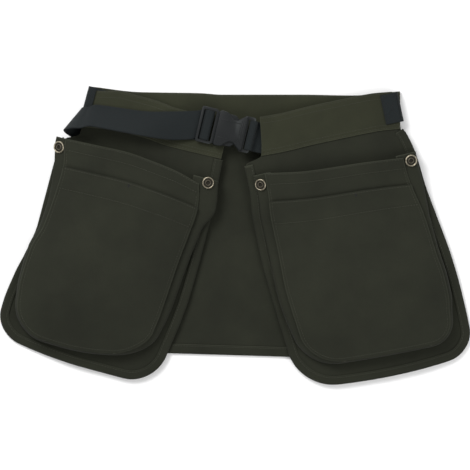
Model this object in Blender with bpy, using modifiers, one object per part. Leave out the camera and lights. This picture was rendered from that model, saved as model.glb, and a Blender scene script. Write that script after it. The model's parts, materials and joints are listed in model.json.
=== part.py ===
"""A waist apron for garden work, lying flat with its belt buckled.

The floor is z = 0, the waist points to +Y and the outside of the two front panels faces up. The
origin lies on the underside of the back panel. Sizes are in metres.
"""

import math

import bmesh
import bpy
from mathutils import Matrix, Vector

MM = 0.001

# Cloth and webbing.
CANVAS = 1.2 * MM
BAND_PLY = 1.0 * MM
TAPE_PLY = 0.8 * MM
GUSSET_PLY = 1.0 * MM
WEBBING = 1.5 * MM
WEBBING_WIDTH = 38 * MM
PLY_GAP = 0.4 * MM
TAPE_GAP = 0.6 * MM
SEAT_GAP = 0.3 * MM

# The waist loop, laid flat.
LOOP_WIDTH = 402 * MM
LOOP_CENTRE_X = 15.4 * MM
WAIST_Y = 185 * MM
BAND_HEIGHT = 48 * MM
WAIST_OPENING = 6.2 * MM
BAND_COVER = 4 * MM

# The back panel.
BACK_DROP = 340 * MM
HEM_SLANT = 12 * MM
BACK_HEM = 12 * MM
HEM_RISE = 18 * MM

# The two front panels.
PANEL_WIDTH = 213 * MM
PANEL_DROP = 354 * MM
LEFT_TILT = math.radians(15)
RIGHT_TILT = math.radians(12)
TAPE_WIDTH = 10 * MM
DRAPE = 100 * MM
SHOULDER = 125 * MM

# The bellows pockets.
POCKET_WIDTH = 184 * MM
SLOT_DROP = 35 * MM
SEAM_HEIGHT = 14 * MM
CROWN = 11 * MM
FLANGE = 8 * MM
CREASE = 12 * MM

# The press studs.
STUD_RADIUS = 7.7 * MM
STUD_SOCKET = 2.9 * MM
STUD_HEIGHT = 2.2 * MM

# The side straps and the belt.
STRAP_SEWN = 26 * MM
BUCKLE_TO_BAND = 12.6 * MM
BELT_RETURN = 12 * MM
BELT_TAIL = 28 * MM

# The side-release buckle.
BUCKLE_LENGTH = 70 * MM
BUCKLE_WIDTH = 46 * MM
BUCKLE_THICK = 10 * MM
BUCKLE_TILT = math.radians(13.5)
FRAME_THICK = 3.2 * MM
RAIL = 3.2 * MM
SLOT_WIDTH = 5 * MM
BAR_WIDTH = 6 * MM
NOTCH_DEPTH = 8.5 * MM
NOTCH_AT = BUCKLE_LENGTH * 0.643
NOTCH_RUN = BUCKLE_LENGTH * 0.30
BUCKLE_WALL = 2 * MM
RUN_CLEARANCE = 0.4 * MM
TAB_SLOT = 4.6 * MM
END_BAR = 3.4 * MM
END_THICK = 4 * MM
TAB_LENGTH = 34 * MM

# Heights in the stack of layers, at their places on the floor.
BACK_TOP = 2 * (BAND_PLY + PLY_GAP) + CANVAS
BAND_LEVEL = BACK_TOP + WAIST_OPENING + BAND_PLY + PLY_GAP
OVER_BACK = BACK_TOP + PLY_GAP + TAPE_PLY + TAPE_GAP
ON_FLOOR = TAPE_PLY + TAPE_GAP
BAND_TOP = BAND_LEVEL + CANVAS + PLY_GAP + BAND_PLY
STRAP_LEVEL = BAND_TOP + SEAT_GAP
BELT_LEVEL = STRAP_LEVEL + WEBBING + SEAT_GAP
INNER_LIFT = {"left": 0.0, "right": 5 * MM}

# Side straps: fold, top edge and inner end, in shares of the panel's or the webbing's width.
STRAP_FOLD = {"left": -0.006, "right": 0.041}
STRAP_TOP = {"left": -0.10, "right": 0.05}
STRAP_END = {"left": 0.045, "right": 0.150}

# The belt's and the buckle's places, in shares of the webbing's width, and their heights.
BELT_FLARE = 0.44
BELT_SKEW = 0.18
BUCKLE_DROP = 6.0 * MM
BUCKLE_SKEW = LEFT_TILT - BUCKLE_TILT
FRAME_LEVEL = BELT_LEVEL + WEBBING + RUN_CLEARANCE
BUCKLE_MIDDLE = FRAME_LEVEL + FRAME_THICK / 2
BELT_MIDDLE = BELT_LEVEL + WEBBING / 2
RETURN_LEVEL = SEAT_GAP + WEBBING / 2

# A stud's place: its row down the pocket, and how far out on the gusset in shares of its radius.
STUD_PLACES = {
    "left": {"outer": (0.31, 1.12), "inner": (-0.05, 1.62)},
    "right": {"outer": (0.16, 1.30), "inner": (0.36, 1.12)},
}

# Where the panels and the pocket faces have their columns, in shares of their width.
PANEL_COLUMNS = [0, 0.05, 0.15, 0.27, 0.39, 0.51, 0.63, 0.75, 0.86, 0.95, 1]
POCKET_COLUMNS = [0, 0.06, 0.17, 0.30, 0.43, 0.57, 0.70, 0.83, 0.94, 1]


def table(columns, *rows):
    """Rows of numbers with named columns."""
    names = columns.split()
    return [dict(zip(names, row)) for row in rows]


# The waist edge of each panel: how far it lies below its frame, in shares of the band's height.
WAIST_EDGE = {
    "left": table(
        "along below",
        (0.00, 0.00),
        (0.08, -0.06),
        (0.24, -0.18),
        (0.43, -0.18),
        (0.63, -0.12),
        (1.00, -0.16),
    ),
    "right": table(
        "along below",
        (0.00, -0.01),
        (0.17, -0.08),
        (0.32, -0.09),
        (0.60, -0.09),
        (0.84, -0.06),
        (1.00, -0.08),
    ),
    "back": table(
        "along below",
        (0.00, -0.08),
        (0.15, 0.06),
        (0.35, 0.09),
        (0.42, 0.13),
        (0.68, 0.13),
        (0.84, 0.15),
        (1.00, 0.04),
    ),
}

# A panel's two sides down its drop, in shares of its width.
PANEL_SIDES = {
    "left": table(
        "down outer inner",
        (0.00, 0.020, 0.865),
        (0.165, 0.016, 0.874),
        (0.20, -0.070, 0.878),
        (0.33, -0.077, 0.892),
        (0.52, -0.077, 0.894),
        (0.64, -0.106, 0.891),
        (0.72, -0.134, 0.880),
        (0.85, -0.158, 0.850),
        (1.00, -0.160, 0.818),
    ),
    "right": table(
        "down outer inner",
        (0.00, 0.075, 0.880),
        (0.14, 0.070, 0.922),
        (0.158, 0.056, 1.020),
        (0.24, 0.024, 1.018),
        (0.36, 0.006, 1.035),
        (0.49, -0.026, 1.036),
        (0.62, -0.057, 1.024),
        (0.74, -0.072, 1.009),
        (0.86, -0.077, 0.993),
        (1.00, -0.075, 0.978),
    ),
}

# Where the binding starts down each side, in shares of the drop.
TAPE_START = {
    "left": {"outer": 0.195, "inner": 0.143},
    "right": {"outer": 0.143, "inner": 0.162},
}

# A panel's foot: its drop in shares of the panel's, its corners' radii and how far it rises from
# its lowest place to them in shares of the width, and that place as a share across it.
PANEL_FOOT = {
    "left": {"drop": 0.968, "outer": 0.15, "inner": 0.18, "low": 0.60, "up_out": 0.066, "up_in": 0.0},
    "right": {"drop": 0.996, "outer": 0.15, "inner": 0.22, "low": 0.45, "up_out": 0.036, "up_in": 0.048},
}

# A pocket's mouth and its two side seams, in shares of the panel's drop and the pocket's width,
# and the slot pocket's edge below the mouth in shares of the slot's drop.
POCKET_MOUTH = {
    "left": table(
        "across down slot",
        (0.00, 0.195, 1.00),
        (0.20, 0.190, 1.01),
        (0.45, 0.185, 1.03),
        (0.65, 0.193, 1.00),
        (0.82, 0.204, 0.97),
        (1.00, 0.227, 0.86),
    ),
    "right": table(
        "across down slot",
        (0.00, 0.242, 1.00),
        (0.30, 0.229, 1.00),
        (0.68, 0.218, 1.00),
        (1.00, 0.193, 1.04),
    ),
}
POCKET_SIDES = {
    "left": table(
        "down outer inner",
        (0.21, -0.060, 0.900),
        (0.32, -0.026, 0.940),
        (0.42, -0.034, 0.925),
        (0.52, -0.052, 0.905),
        (0.61, -0.098, 0.894),
        (0.73, -0.108, 0.880),
        (0.81, -0.094, 0.864),
        (0.94, -0.084, 0.846),
    ),
    "right": table(
        "down outer inner",
        (0.21, 0.112, 1.070),
        (0.28, 0.108, 1.075),
        (0.36, 0.090, 1.087),
        (0.45, 0.055, 1.086),
        (0.60, 0.028, 1.090),
        (0.70, 0.006, 1.078),
        (0.76, 0.004, 1.066),
        (0.82, 0.020, 1.056),
        (0.94, 0.040, 1.042),
    ),
}
POCKET_FOOT = {
    "left": {"drop": 0.916, "outer": 0.22, "inner": 0.20, "low": 0.42, "up_out": 0.022, "up_in": 0.112},
    "right": {"drop": 0.920, "outer": 0.14, "inner": 0.24, "low": 0.20, "up_out": 0.004, "up_in": 0.036},
}

# How the bellows stand between the mouth and the foot, in shares of the seam height and the crown.
BELLOWS = {
    "left": table(
        "down seam crown",
        (0.00, 0.82, 0.30),
        (0.15, 0.70, 0.62),
        (0.45, 0.85, 0.95),
        (0.75, 1.00, 0.85),
        (1.00, 0.95, 0.00),
    ),
    "right": table(
        "down seam crown",
        (0.00, 0.80, 0.32),
        (0.15, 0.68, 0.60),
        (0.45, 0.85, 0.92),
        (0.75, 1.00, 0.85),
        (1.00, 0.95, 0.00),
    ),
}

# The gusset's crease round the pocket, from the outer mouth corner to the inner one. Reach is in
# shares of the crease, lean is how far its upper leg slopes.
GUSSET_RUN = {
    "left": table(
        "along reach lean",
        (0.00, 1.05, 1.20),
        (0.05, 1.00, 1.20),
        (0.13, 0.60, 0.80),
        (0.28, 0.35, 0.50),
        (0.40, 0.24, 0.50),
        (0.58, 0.24, 0.45),
        (0.66, 0.62, 0.38),
        (0.74, 0.95, 0.35),
        (0.90, 1.10, 0.30),
        (0.94, 1.90, 0.10),
        (1.00, 2.00, 0.05),
    ),
    "right": table(
        "along reach lean",
        (0.00, 1.45, 0.10),
        (0.06, 1.30, 0.15),
        (0.14, 0.55, 0.40),
        (0.30, 0.40, 0.40),
        (0.42, 0.24, 0.45),
        (0.56, 0.24, 0.45),
        (0.64, 0.55, 0.40),
        (0.75, 1.00, 0.35),
        (0.93, 1.00, 1.10),
        (1.00, 1.10, 1.20),
    ),
}

# Soft valleys in the pocket faces: a line from one place to another on the face, with its half
# width in shares of the pocket's width and its depth in shares of the crown.
VALLEYS = {
    "left": table(
        "across down to_across to_down half depth",
        (0.10, 0.42, 0.48, 0.66, 0.10, 0.22),
        (0.28, 0.00, 0.30, 0.16, 0.07, 0.12),
    ),
    "right": table(
        "across down to_across to_down half depth",
        (0.72, 0.36, 0.34, 0.48, 0.12, 0.12),
        (0.18, 0.02, 0.17, 0.14, 0.05, 0.14),
    ),
}

# How far the gusset rises above each mouth corner, in shares of the slot's drop.
GUSSET_TOPS = {
    "left": {"outer": 0.0, "inner": 0.30},
    "right": {"outer": 0.12, "inner": 0.0},
}

# The belt from its side fold to the buckle: the top edge's drop in shares of the webbing's width,
# and the roll about that edge in degrees.
BELT_ROWS = table(
    "along drop roll",
    (0.02, 0.60, 41),
    (0.09, 0.47, 41),
    (0.23, 0.39, 39),
    (0.52, 0.25, 34),
    (0.70, 0.07, 20),
    (0.85, -0.10, 6),
    (1.00, -0.29, 0),
)


def blend(low, high, value):
    """A smooth step from 0 at low to 1 at high."""
    share = min(1.0, max(0.0, (value - low) / (high - low)))
    return share * share * (3 - 2 * share)


def read(rows, key, column, at):
    """The column's value where the key column is at, on a smooth line through the rows."""
    keys = [row[key] for row in rows]
    values = [row[column] for row in rows]
    if at <= keys[0]:
        return values[0]
    if at >= keys[-1]:
        return values[-1]
    slopes = [(b - a) / (q - p) for a, b, p, q in zip(values, values[1:], keys, keys[1:])]
    bends = [slopes[0]]
    for before, after in zip(slopes, slopes[1:]):
        flat = before * after <= 0
        bends.append(0.0 if flat else 2 * before * after / (before + after))
    bends.append(slopes[-1])
    index = max(i for i, start in enumerate(keys[:-1]) if start <= at)
    span = keys[index + 1] - keys[index]
    share = (at - keys[index]) / span
    rise = values[index + 1] - values[index]
    return (
        values[index]
        + share * share * (3 - 2 * share) * rise
        + span * share * (1 - share) ** 2 * bends[index]
        - span * share * share * (1 - share) * bends[index + 1]
    )


def spread(low, high, count):
    """Evenly spaced values from low to high."""
    return [low + (high - low) * i / (count - 1) for i in range(count)]


class Frame:
    """A flat frame on the floor: across from the outer side, down from the waist."""

    def __init__(self, side, x, tilt, sign):
        self.side = side
        self.sign = sign
        self.tilt = tilt
        self.across = Vector((sign * math.cos(tilt), -math.sin(tilt)))
        self.down = Vector((-sign * math.sin(tilt), -math.cos(tilt)))
        self.start = Vector((x, WAIST_Y))

    def world(self, across, down):
        return self.start + self.across * across + self.down * down

    def inside(self, spot):
        """(across, down) of a place on the floor."""
        away = Vector((spot[0], spot[1])) - self.start
        return away.dot(self.across), away.dot(self.down)

    def local(self, across, down, height):
        return Vector((self.sign * across, -down, height))


def add_material(name, colour, roughness, metallic=0.0):
    material = bpy.data.materials.new(name)
    material.use_nodes = True
    shader = material.node_tree.nodes["Principled BSDF"]
    shader.inputs["Base Color"].default_value = (*colour, 1.0)
    shader.inputs["Roughness"].default_value = roughness
    shader.inputs["Metallic"].default_value = metallic
    return material


def add_object(name, mesh, collection, material, parent=None):
    obj = bpy.data.objects.new(name, mesh)
    collection.objects.link(obj)
    obj.data.materials.append(material)
    obj.parent = parent
    return obj


def cloth(name, grid, thickness, place, offset=1.0):
    """A sheet of cloth: rows of points made a surface, given its thickness on the upper side."""
    collection, material, parent, turned = place
    width = len(grid[0])
    points = [point for row in grid for point in row]
    faces = []
    for i in range(len(grid) - 1):
        for j in range(width - 1):
            corner = i * width + j
            face = (corner, corner + width, corner + width + 1, corner + 1)
            faces.append(face[::-1] if turned else face)
    mesh = bpy.data.meshes.new(name)
    mesh.from_pydata(points, [], faces)
    mesh.shade_smooth()
    obj = add_object(name, mesh, collection, material, parent)
    wall = obj.modifiers.new("wall", "SOLIDIFY")
    wall.thickness = thickness
    wall.offset = offset
    return obj


# The back panel lies on the floor between its band and its hem.
def back_half(across_end):
    """Half the back panel's width on one side, at the waist and at the hem."""
    return {"waist": LOOP_WIDTH * 0.488, "hem": LOOP_WIDTH * 0.495}[across_end]


def waist_below(side, share):
    return BAND_HEIGHT * read(WAIST_EDGE[side], "along", "below", share)


def back_point(share, down, lift):
    """A point of the back panel, its share across and its distance below the waist edge."""
    half = back_half("waist") + (back_half("hem") - back_half("waist")) * down / BACK_DROP
    top = waist_below("back", share) * (1 - down / BACK_DROP)
    slant = HEM_SLANT * (share - 0.5) * down / BACK_DROP
    return Vector((LOOP_CENTRE_X + half * (2 * share - 1), WAIST_Y - top - down - slant, lift))


def back_level(down):
    """The back panel's underside: flat on the floor, and up in its band and its hem."""
    ply = BAND_PLY + PLY_GAP
    band = 1 - blend(BAND_HEIGHT, BAND_HEIGHT + HEM_RISE, down)
    hem = blend(BACK_DROP - BACK_HEM - HEM_RISE, BACK_DROP - BACK_HEM, down)
    return ply * max(band, hem)


def back_panel(place):
    downs = [
        BAND_COVER,
        *spread(BAND_HEIGHT, BAND_HEIGHT + HEM_RISE, 4),
        BACK_DROP / 2,
        *spread(BACK_DROP - BACK_HEM - HEM_RISE, BACK_DROP - BACK_HEM, 4),
        BACK_DROP - BACK_HEM / 4,
    ]
    grid = [[back_point(s, d, back_level(d)) for s in spread(0, 1, 11)] for d in downs]
    return cloth("back_panel", grid, CANVAS, place)


def fold_profile(reach, half):
    """A strip folded round an edge: its inner face's (down, height) from the lower leg to the
    upper one, with the edge at 0 and the legs half a height to each side of the middle."""
    turn = [(half * (1 - math.sin(a)), -half * math.cos(a)) for a in spread(0, math.pi, 5)]
    legs = [reach, reach / 2]
    return (
        [(down, -half) for down in legs]
        + [(down, height) for down, height in turn]
        + [(down, half) for down in reversed(legs)]
    )


def back_waistband(place):
    middle = BAND_PLY + PLY_GAP + CANVAS / 2
    profile = fold_profile(BAND_HEIGHT, PLY_GAP + (CANVAS + BAND_PLY) / 2)
    shares = spread(0, 1, 11)
    grid = [[back_point(s, d + BAND_PLY, middle + h) for s in shares] for d, h in profile]
    return cloth("back_waistband", grid, BAND_PLY, place, offset=0.0)


def back_hem(place):
    middle = BAND_PLY + PLY_GAP + CANVAS / 2
    profile = fold_profile(BACK_HEM, PLY_GAP + (CANVAS + BAND_PLY) / 2)
    shares = spread(0, 1, 11)
    grid = [[back_point(s, BACK_DROP - d, middle + h) for s in shares] for d, h in profile]
    return cloth("back_hem", grid, BAND_PLY, place, offset=0.0)


def panel_level(frame, across, down):
    """The underside of a front panel, over the back panel, beside it or up at its waistband."""
    x, y = frame.world(across, down)
    half = back_half("hem")
    beside = max(abs(x - LOOP_CENTRE_X) - half, WAIST_Y - BACK_DROP - y, 0.0)
    beside -= TAPE_WIDTH
    low = OVER_BACK + (ON_FLOOR - OVER_BACK) * blend(0, DRAPE, beside)
    up = 1 - blend(BAND_HEIGHT, BAND_HEIGHT + SHOULDER, down)
    lift = INNER_LIFT[frame.side] * blend(PANEL_WIDTH * 0.45, PANEL_WIDTH * 0.94, across)
    return low + (BAND_LEVEL + lift - low) * up


def edge_place(rows, foot, width, drop, down, column):
    """Where a panel's side lies at this drop, with its lower corner rounded."""
    side = width * read(rows, "down", column, down / PANEL_DROP)
    radius = width * foot[column]
    over = down - (drop - radius)
    if over <= 0:
        return side
    inset = radius - math.sqrt(max(0.0, radius * radius - over * over))
    return side + inset if column == "outer" else side - inset


def foot_rise(rows, foot, width, across, down):
    """How far a foot has risen from its lowest place, at this place across it."""
    outer, inner = (width * read(rows, "down", side, down / PANEL_DROP) for side in ("outer", "inner"))
    share = min(1.0, max(0.0, (across - outer) / (inner - outer)))
    low = foot["low"]
    if share < low:
        return width * foot["up_out"] * (1 - share / low) ** 2
    return width * foot["up_in"] * ((share - low) / (1 - low)) ** 2


def panel_drop(frame):
    return PANEL_DROP * PANEL_FOOT[frame.side]["drop"]


def panel_place(frame, share, down):
    """(across, down) on a front panel: its share from the outer side, its distance down."""
    rows, foot, drop = PANEL_SIDES[frame.side], PANEL_FOOT[frame.side], panel_drop(frame)
    outer = edge_place(rows, foot, PANEL_WIDTH, drop, down, "outer")
    inner = edge_place(rows, foot, PANEL_WIDTH, drop, down, "inner")
    top = waist_below(frame.side, share) * (1 - down / drop)
    across = outer + (inner - outer) * share
    rise = foot_rise(rows, foot, PANEL_WIDTH, across, down) * (down / drop) ** 4
    return across, down + top - rise


def rounded_downs(start, drop, radius, count, corner=4):
    """Distances down a piece, evenly to its rounded corners and then closer and closer."""
    straight = spread(start, drop - radius, count)
    turn = [drop - radius * (1 - math.sin(a)) for a in spread(0, math.pi / 2, corner + 1)]
    return straight + turn[1:]


def panel_downs(frame):
    foot = PANEL_FOOT[frame.side]
    radius = PANEL_WIDTH * max(foot["outer"], foot["inner"])
    shoulder = spread(BAND_HEIGHT + SHOULDER * 0.07, BAND_HEIGHT + SHOULDER, 6)
    below = rounded_downs(shoulder[-1] + SHOULDER / 5, panel_drop(frame), radius, 4)
    band = [BAND_COVER, BAND_HEIGHT / 2 + BAND_PLY, BAND_HEIGHT + BAND_PLY]
    return [*band, *shoulder, *below]


def front_panel(frame, place):
    grid = []
    for down in panel_downs(frame):
        row = []
        for share in PANEL_COLUMNS:
            across, low = panel_place(frame, share, down)
            row.append(frame.local(across, low, panel_level(frame, across, low)))
        grid.append(row)
    return cloth(frame.side + "_front_panel", grid, CANVAS, place)


def front_waistband(frame, place):
    """The band folded over a front panel's waist edge."""
    profile = fold_profile(BAND_HEIGHT, PLY_GAP + (CANVAS + BAND_PLY) / 2)
    grid = []
    for down, height in profile:
        row = []
        for share in PANEL_COLUMNS:
            across, low = panel_place(frame, share, max(0.0, down + BAND_PLY))
            low += min(0.0, down + BAND_PLY)
            level = panel_level(frame, across, min(low, BAND_HEIGHT)) + CANVAS / 2
            row.append(frame.local(across, low, level + height))
        grid.append(row)
    return cloth(frame.side + "_waistband", grid, BAND_PLY, place, offset=0.0)


def outline_run(points):
    """Points along an open outline with the direction that faces out of it at each."""
    run = []
    for i, point in enumerate(points):
        ahead = points[min(i + 1, len(points) - 1)] - points[max(i - 1, 0)]
        ahead.normalize()
        run.append((point, Vector((-ahead.y, ahead.x))))
    return run


def edge_binding(frame, place):
    """Tape folded round a front panel's sides and foot."""
    sides = {}
    for end, share in (("outer", 0.0), ("inner", 1.0)):
        start = PANEL_DROP * TAPE_START[frame.side][end]
        downs = [start, *[d for d in panel_downs(frame) if d > start + TAPE_WIDTH / 4]]
        sides[end] = [Vector(panel_place(frame, share, d)) for d in downs]
    foot = [Vector(panel_place(frame, s, panel_drop(frame))) for s in PANEL_COLUMNS[1:-1]]
    points = sides["outer"] + foot + sides["inner"][::-1]
    half = TAPE_GAP + (CANVAS + TAPE_PLY) / 2
    profile = [
        (-TAPE_WIDTH, -half),
        (-half, -half),
        (half * 0.5, 0.0),
        (-half, half),
        (-TAPE_WIDTH, half),
    ]
    grid = []
    for point, out in outline_run(points):
        row = []
        for reach, height in profile:
            spot = point + out * (reach + half)
            seen = point + out * min(reach, -CANVAS)
            level = panel_level(frame, seen.x, seen.y) + CANVAS / 2
            row.append(frame.local(spot.x, spot.y, level + height))
        grid.append(row)
    return cloth(frame.side + "_edge_binding", grid, TAPE_PLY, place, offset=0.0)


# A bellows pocket: a face, a slot pocket laid on it, and the gusset that carries them.
def mouth_down(frame, share):
    return PANEL_DROP * read(POCKET_MOUTH[frame.side], "across", "down", share)


def pocket_place(frame, share, row):
    """(across, down) on a pocket's face. Row 0 is the mouth, 1 the slot and 2 the foot."""
    rows, foot = POCKET_SIDES[frame.side], POCKET_FOOT[frame.side]
    drop = PANEL_DROP * foot["drop"]
    top = mouth_down(frame, share)
    slot = top + SLOT_DROP * read(POCKET_MOUTH[frame.side], "across", "slot", share)
    down = top + (slot - top) * row if row < 1 else slot + (drop - slot) * (row - 1)
    outer = edge_place(rows, foot, POCKET_WIDTH, drop, down, "outer")
    inner = edge_place(rows, foot, POCKET_WIDTH, drop, down, "inner")
    across = outer + (inner - outer) * share
    rise = foot_rise(rows, foot, POCKET_WIDTH, across, down) * max(0.0, row - 1) ** 4
    return across, down - rise


def valley(frame, share, fall):
    """How deep the soft valleys are at this place of the face, from 0 to 1 of the crown."""
    depth = 0.0
    for row in VALLEYS[frame.side]:
        start = Vector((row["across"], row["down"]))
        line = Vector((row["to_across"], row["to_down"])) - start
        spot = Vector((share, fall)) - start
        along = min(1.0, max(0.0, spot.dot(line) / line.length_squared))
        away = (spot - line * along).length / row["half"]
        depth += row["depth"] * max(0.0, 1 - away * away) ** 2
    return depth


def face_rise(frame, share, row):
    """The height of a pocket face's underside over the panel's outside."""
    fall = 0.15 * row if row < 1 else 0.15 + 0.85 * (row - 1)
    seam = SEAM_HEIGHT * read(BELLOWS[frame.side], "down", "seam", fall)
    crown = CROWN * read(BELLOWS[frame.side], "down", "crown", fall)
    round_top = 1 - abs(2 * share - 1) ** 2.6
    return seam + crown * round_top * (1 - valley(frame, share, fall))


def face_point(frame, share, row):
    across, down = pocket_place(frame, share, row)
    level = panel_level(frame, across, down) + CANVAS
    return frame.local(across, down, level + face_rise(frame, share, row))


def lifted(frame, share, row, lift):
    """A point this far above the pocket face's underside, square to it."""
    step = 0.01
    low_s, high_s = max(0.0, share - step), min(1.0, share + step)
    low_r, high_r = max(0.0, row - step), min(2.0, row + step)
    across = face_point(frame, high_s, row) - face_point(frame, low_s, row)
    down = face_point(frame, share, high_r) - face_point(frame, share, low_r)
    up = down.cross(across).normalized()
    up = -up if up.z < 0 else up
    return face_point(frame, share, row) + up * lift


def pocket_rows(frame):
    foot = POCKET_FOOT[frame.side]
    slot = mouth_down(frame, 0.5) + SLOT_DROP
    drop = PANEL_DROP * foot["drop"]
    radius = POCKET_WIDTH * max(foot["outer"], foot["inner"])
    downs = rounded_downs(slot, drop, radius, 8)
    return [1 + (down - slot) / (drop - slot) for down in downs]


def pocket_face(frame, place):
    rows = [0, 0.3, 0.65, *pocket_rows(frame)]
    grid = [[lifted(frame, s, r, 0.0) for s in POCKET_COLUMNS] for r in rows]
    return cloth(frame.side + "_pocket_face", grid, CANVAS, place)


def slot_pocket(frame, place):
    grid = []
    for row in pocket_rows(frame):
        lift = CANVAS + PLY_GAP + SEAT_GAP * blend(1.7, 2.0, row)
        grid.append([lifted(frame, share, row, lift) for share in POCKET_COLUMNS])
    return cloth(frame.side + "_slot_pocket", grid, CANVAS, place)


def seat_level(frame, across, down):
    """The outside of a front panel, and of its binding where this place lies on it."""
    rows = PANEL_SIDES[frame.side]
    share = down / PANEL_DROP
    outer = across - PANEL_WIDTH * read(rows, "down", "outer", share)
    inner = PANEL_WIDTH * read(rows, "down", "inner", share) - across
    rise = foot_rise(rows, PANEL_FOOT[frame.side], PANEL_WIDTH, across, down)
    inside = min(outer, inner, panel_drop(frame) - rise - down)
    tape = (TAPE_GAP + TAPE_PLY + SEAT_GAP) * (1 - blend(1.2 * TAPE_WIDTH, 1.8 * TAPE_WIDTH, inside))
    return panel_level(frame, across, down) + CANVAS + tape


def gusset_profile(reach, high, lean):
    """The gusset's section from under the face's edge, out to its crease and back in over the
    panel: (out from the edge, height over its lower leg)."""
    return [
        (-FLANGE, high),
        (-FLANGE / 8, high),
        ((0.80 - 0.15 * lean) * reach, (0.92 - 0.44 * lean) * high),
        (reach, (0.45 - 0.25 * lean) * high),
        (0.72 * reach, 0.06 * high),
        (-FLANGE / 8, 0.0),
        (-FLANGE, 0.0),
    ]


def gusset_rows(frame, end):
    top = -GUSSET_TOPS[frame.side][end]
    return [*spread(top, 0.72, 4), *pocket_rows(frame)]


def gusset_run(frame):
    """Places round the pocket's seam, the way out of each, the face's rise there and the share
    of the run."""
    outer, inner = gusset_rows(frame, "outer"), gusset_rows(frame, "inner")
    foot = spread(0, 1, 8)[1:-1]
    spots = (
        [(0.0, row) for row in outer] + [(s, 2.0) for s in foot] + [(1.0, row) for row in inner[::-1]]
    )
    places = [Vector(pocket_place(frame, *spot)) for spot in spots]
    rises = [face_rise(frame, *spot) for spot in spots]
    lengths = [0.0]
    for a, b in zip(places, places[1:]):
        lengths.append(lengths[-1] + (b - a).length)
    shares = [length / lengths[-1] for length in lengths]
    run = zip(outline_run(places), rises, shares)
    return [(spot, out, rise, share) for (spot, out), rise, share in run]


def gusset_section(frame, point, out, rise, along):
    """The gusset's section across the seam at one place of its run."""
    rows = GUSSET_RUN[frame.side]
    reach = CREASE * read(rows, "along", "reach", along)
    lean = read(rows, "along", "lean", along)
    low = PLY_GAP + GUSSET_PLY / 2
    high = rise - 2 * low
    edge = panel_level(frame, point.x, point.y) + CANVAS
    section = []
    for away, height in gusset_profile(reach, high, lean):
        spot = point + out * away
        seat = seat_level(frame, spot.x, spot.y)
        section.append(
            frame.local(spot.x, spot.y, seat + (edge - seat) * height / high + low + height)
        )
    return section


def gusset(frame, place):
    grid = [gusset_section(frame, *step) for step in gusset_run(frame)]
    return cloth(frame.side + "_pocket_gusset", grid, GUSSET_PLY, place, offset=0.0)


# Press studs sit on the upper legs of the gussets, by the mouth corners.
def stud_mesh():
    """A ring stud turned from its section, with a dished socket in its middle."""
    rim, hole, high = STUD_RADIUS, STUD_SOCKET, STUD_HEIGHT
    section = [
        (0.0, 0.35 * high),
        (0.90 * hole, 0.35 * high),
        (1.05 * hole, 0.90 * high),
        (0.72 * rim, high),
        (0.94 * rim, 0.75 * high),
        (rim, 0.35 * high),
        (0.95 * rim, 0.0),
        (0.0, 0.0),
    ]
    mesh = bpy.data.meshes.new("stud")
    edges = [(i, i + 1) for i in range(len(section) - 1)]
    mesh.from_pydata([(x, 0, z) for x, z in section], edges, [])
    return mesh


def leg_at(frame, end, row):
    """The gusset's section where its seam passes this row of the pocket."""
    share = 0.0 if end == "outer" else 1.0
    top = -GUSSET_TOPS[frame.side][end]
    point = Vector(pocket_place(frame, share, row))
    ahead = Vector(pocket_place(frame, share, row + 0.1)) - point
    ahead = ahead.normalized() if end == "outer" else -ahead.normalized()
    out = Vector((-ahead.y, ahead.x))
    spots = [spot for spot, _, _, _ in gusset_run(frame)]
    length = sum((b - a).length for a, b in zip(spots, spots[1:]))
    along = SLOT_DROP * (row - top) / length
    along = along if end == "outer" else 1 - along
    return gusset_section(frame, point, out, face_rise(frame, share, row), along)


def stud(frame, end, place):
    collection, material, _, _ = place
    row, away = STUD_PLACES[frame.side][end]
    here, below = leg_at(frame, end, row), leg_at(frame, end, row + 0.1)
    leg = (here[2] - here[1]).normalized()
    up = (below[1] - here[1]).cross(leg).normalized()
    up = -up if up.z < 0 else up
    mesh = stud_mesh()
    obj = add_object(f"{frame.side}_{end}_stud", mesh, collection, material, frame.holder)
    obj.location = here[1] + leg * STUD_RADIUS * away + up * (GUSSET_PLY / 2 + 2 * SEAT_GAP)
    obj.rotation_mode = "QUATERNION"
    obj.rotation_quaternion = up.to_track_quat("Z", "Y")
    turn = obj.modifiers.new("turn", "SCREW")
    turn.steps = turn.render_steps = 16
    turn.use_merge_vertices = True
    turn.merge_threshold = 0.00001
    return obj


def side_strap(frame, place):
    low = BACK_TOP + SEAT_GAP + WEBBING / 2
    high = STRAP_LEVEL + WEBBING / 2
    radius = (high - low) / 2
    fold = PANEL_WIDTH * STRAP_FOLD[frame.side] + WEBBING / 2 + radius
    path = [(fold + STRAP_SEWN, low), (fold + STRAP_SEWN / 2, low)]
    for turn in spread(0, math.pi, 9):
        path.append((fold - radius * math.sin(turn), low + radius * (1 - math.cos(turn))))
    path.append((PANEL_WIDTH * STRAP_END[frame.side], high))
    top = WEBBING_WIDTH * STRAP_TOP[frame.side]
    downs = spread(top, top + WEBBING_WIDTH, 4)
    grid = [[frame.local(across, down, height) for down in downs] for across, height in path]
    return cloth(frame.side + "_side_strap", grid, WEBBING, place, offset=0.0)


def belt_run(left):
    """How far the belt runs from the side fold, so that the buckle ends by the right waistband."""
    right = Frame("right", left.start.x + LOOP_WIDTH, RIGHT_TILT, -1)
    inner = PANEL_WIDTH * read(PANEL_SIDES["right"], "down", "inner", BAND_HEIGHT / 2 / PANEL_DROP)
    across, _ = left.inside(right.world(inner, BAND_HEIGHT / 2))
    return across - BUCKLE_LENGTH * math.cos(BUCKLE_SKEW) - BUCKLE_TO_BAND


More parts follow.
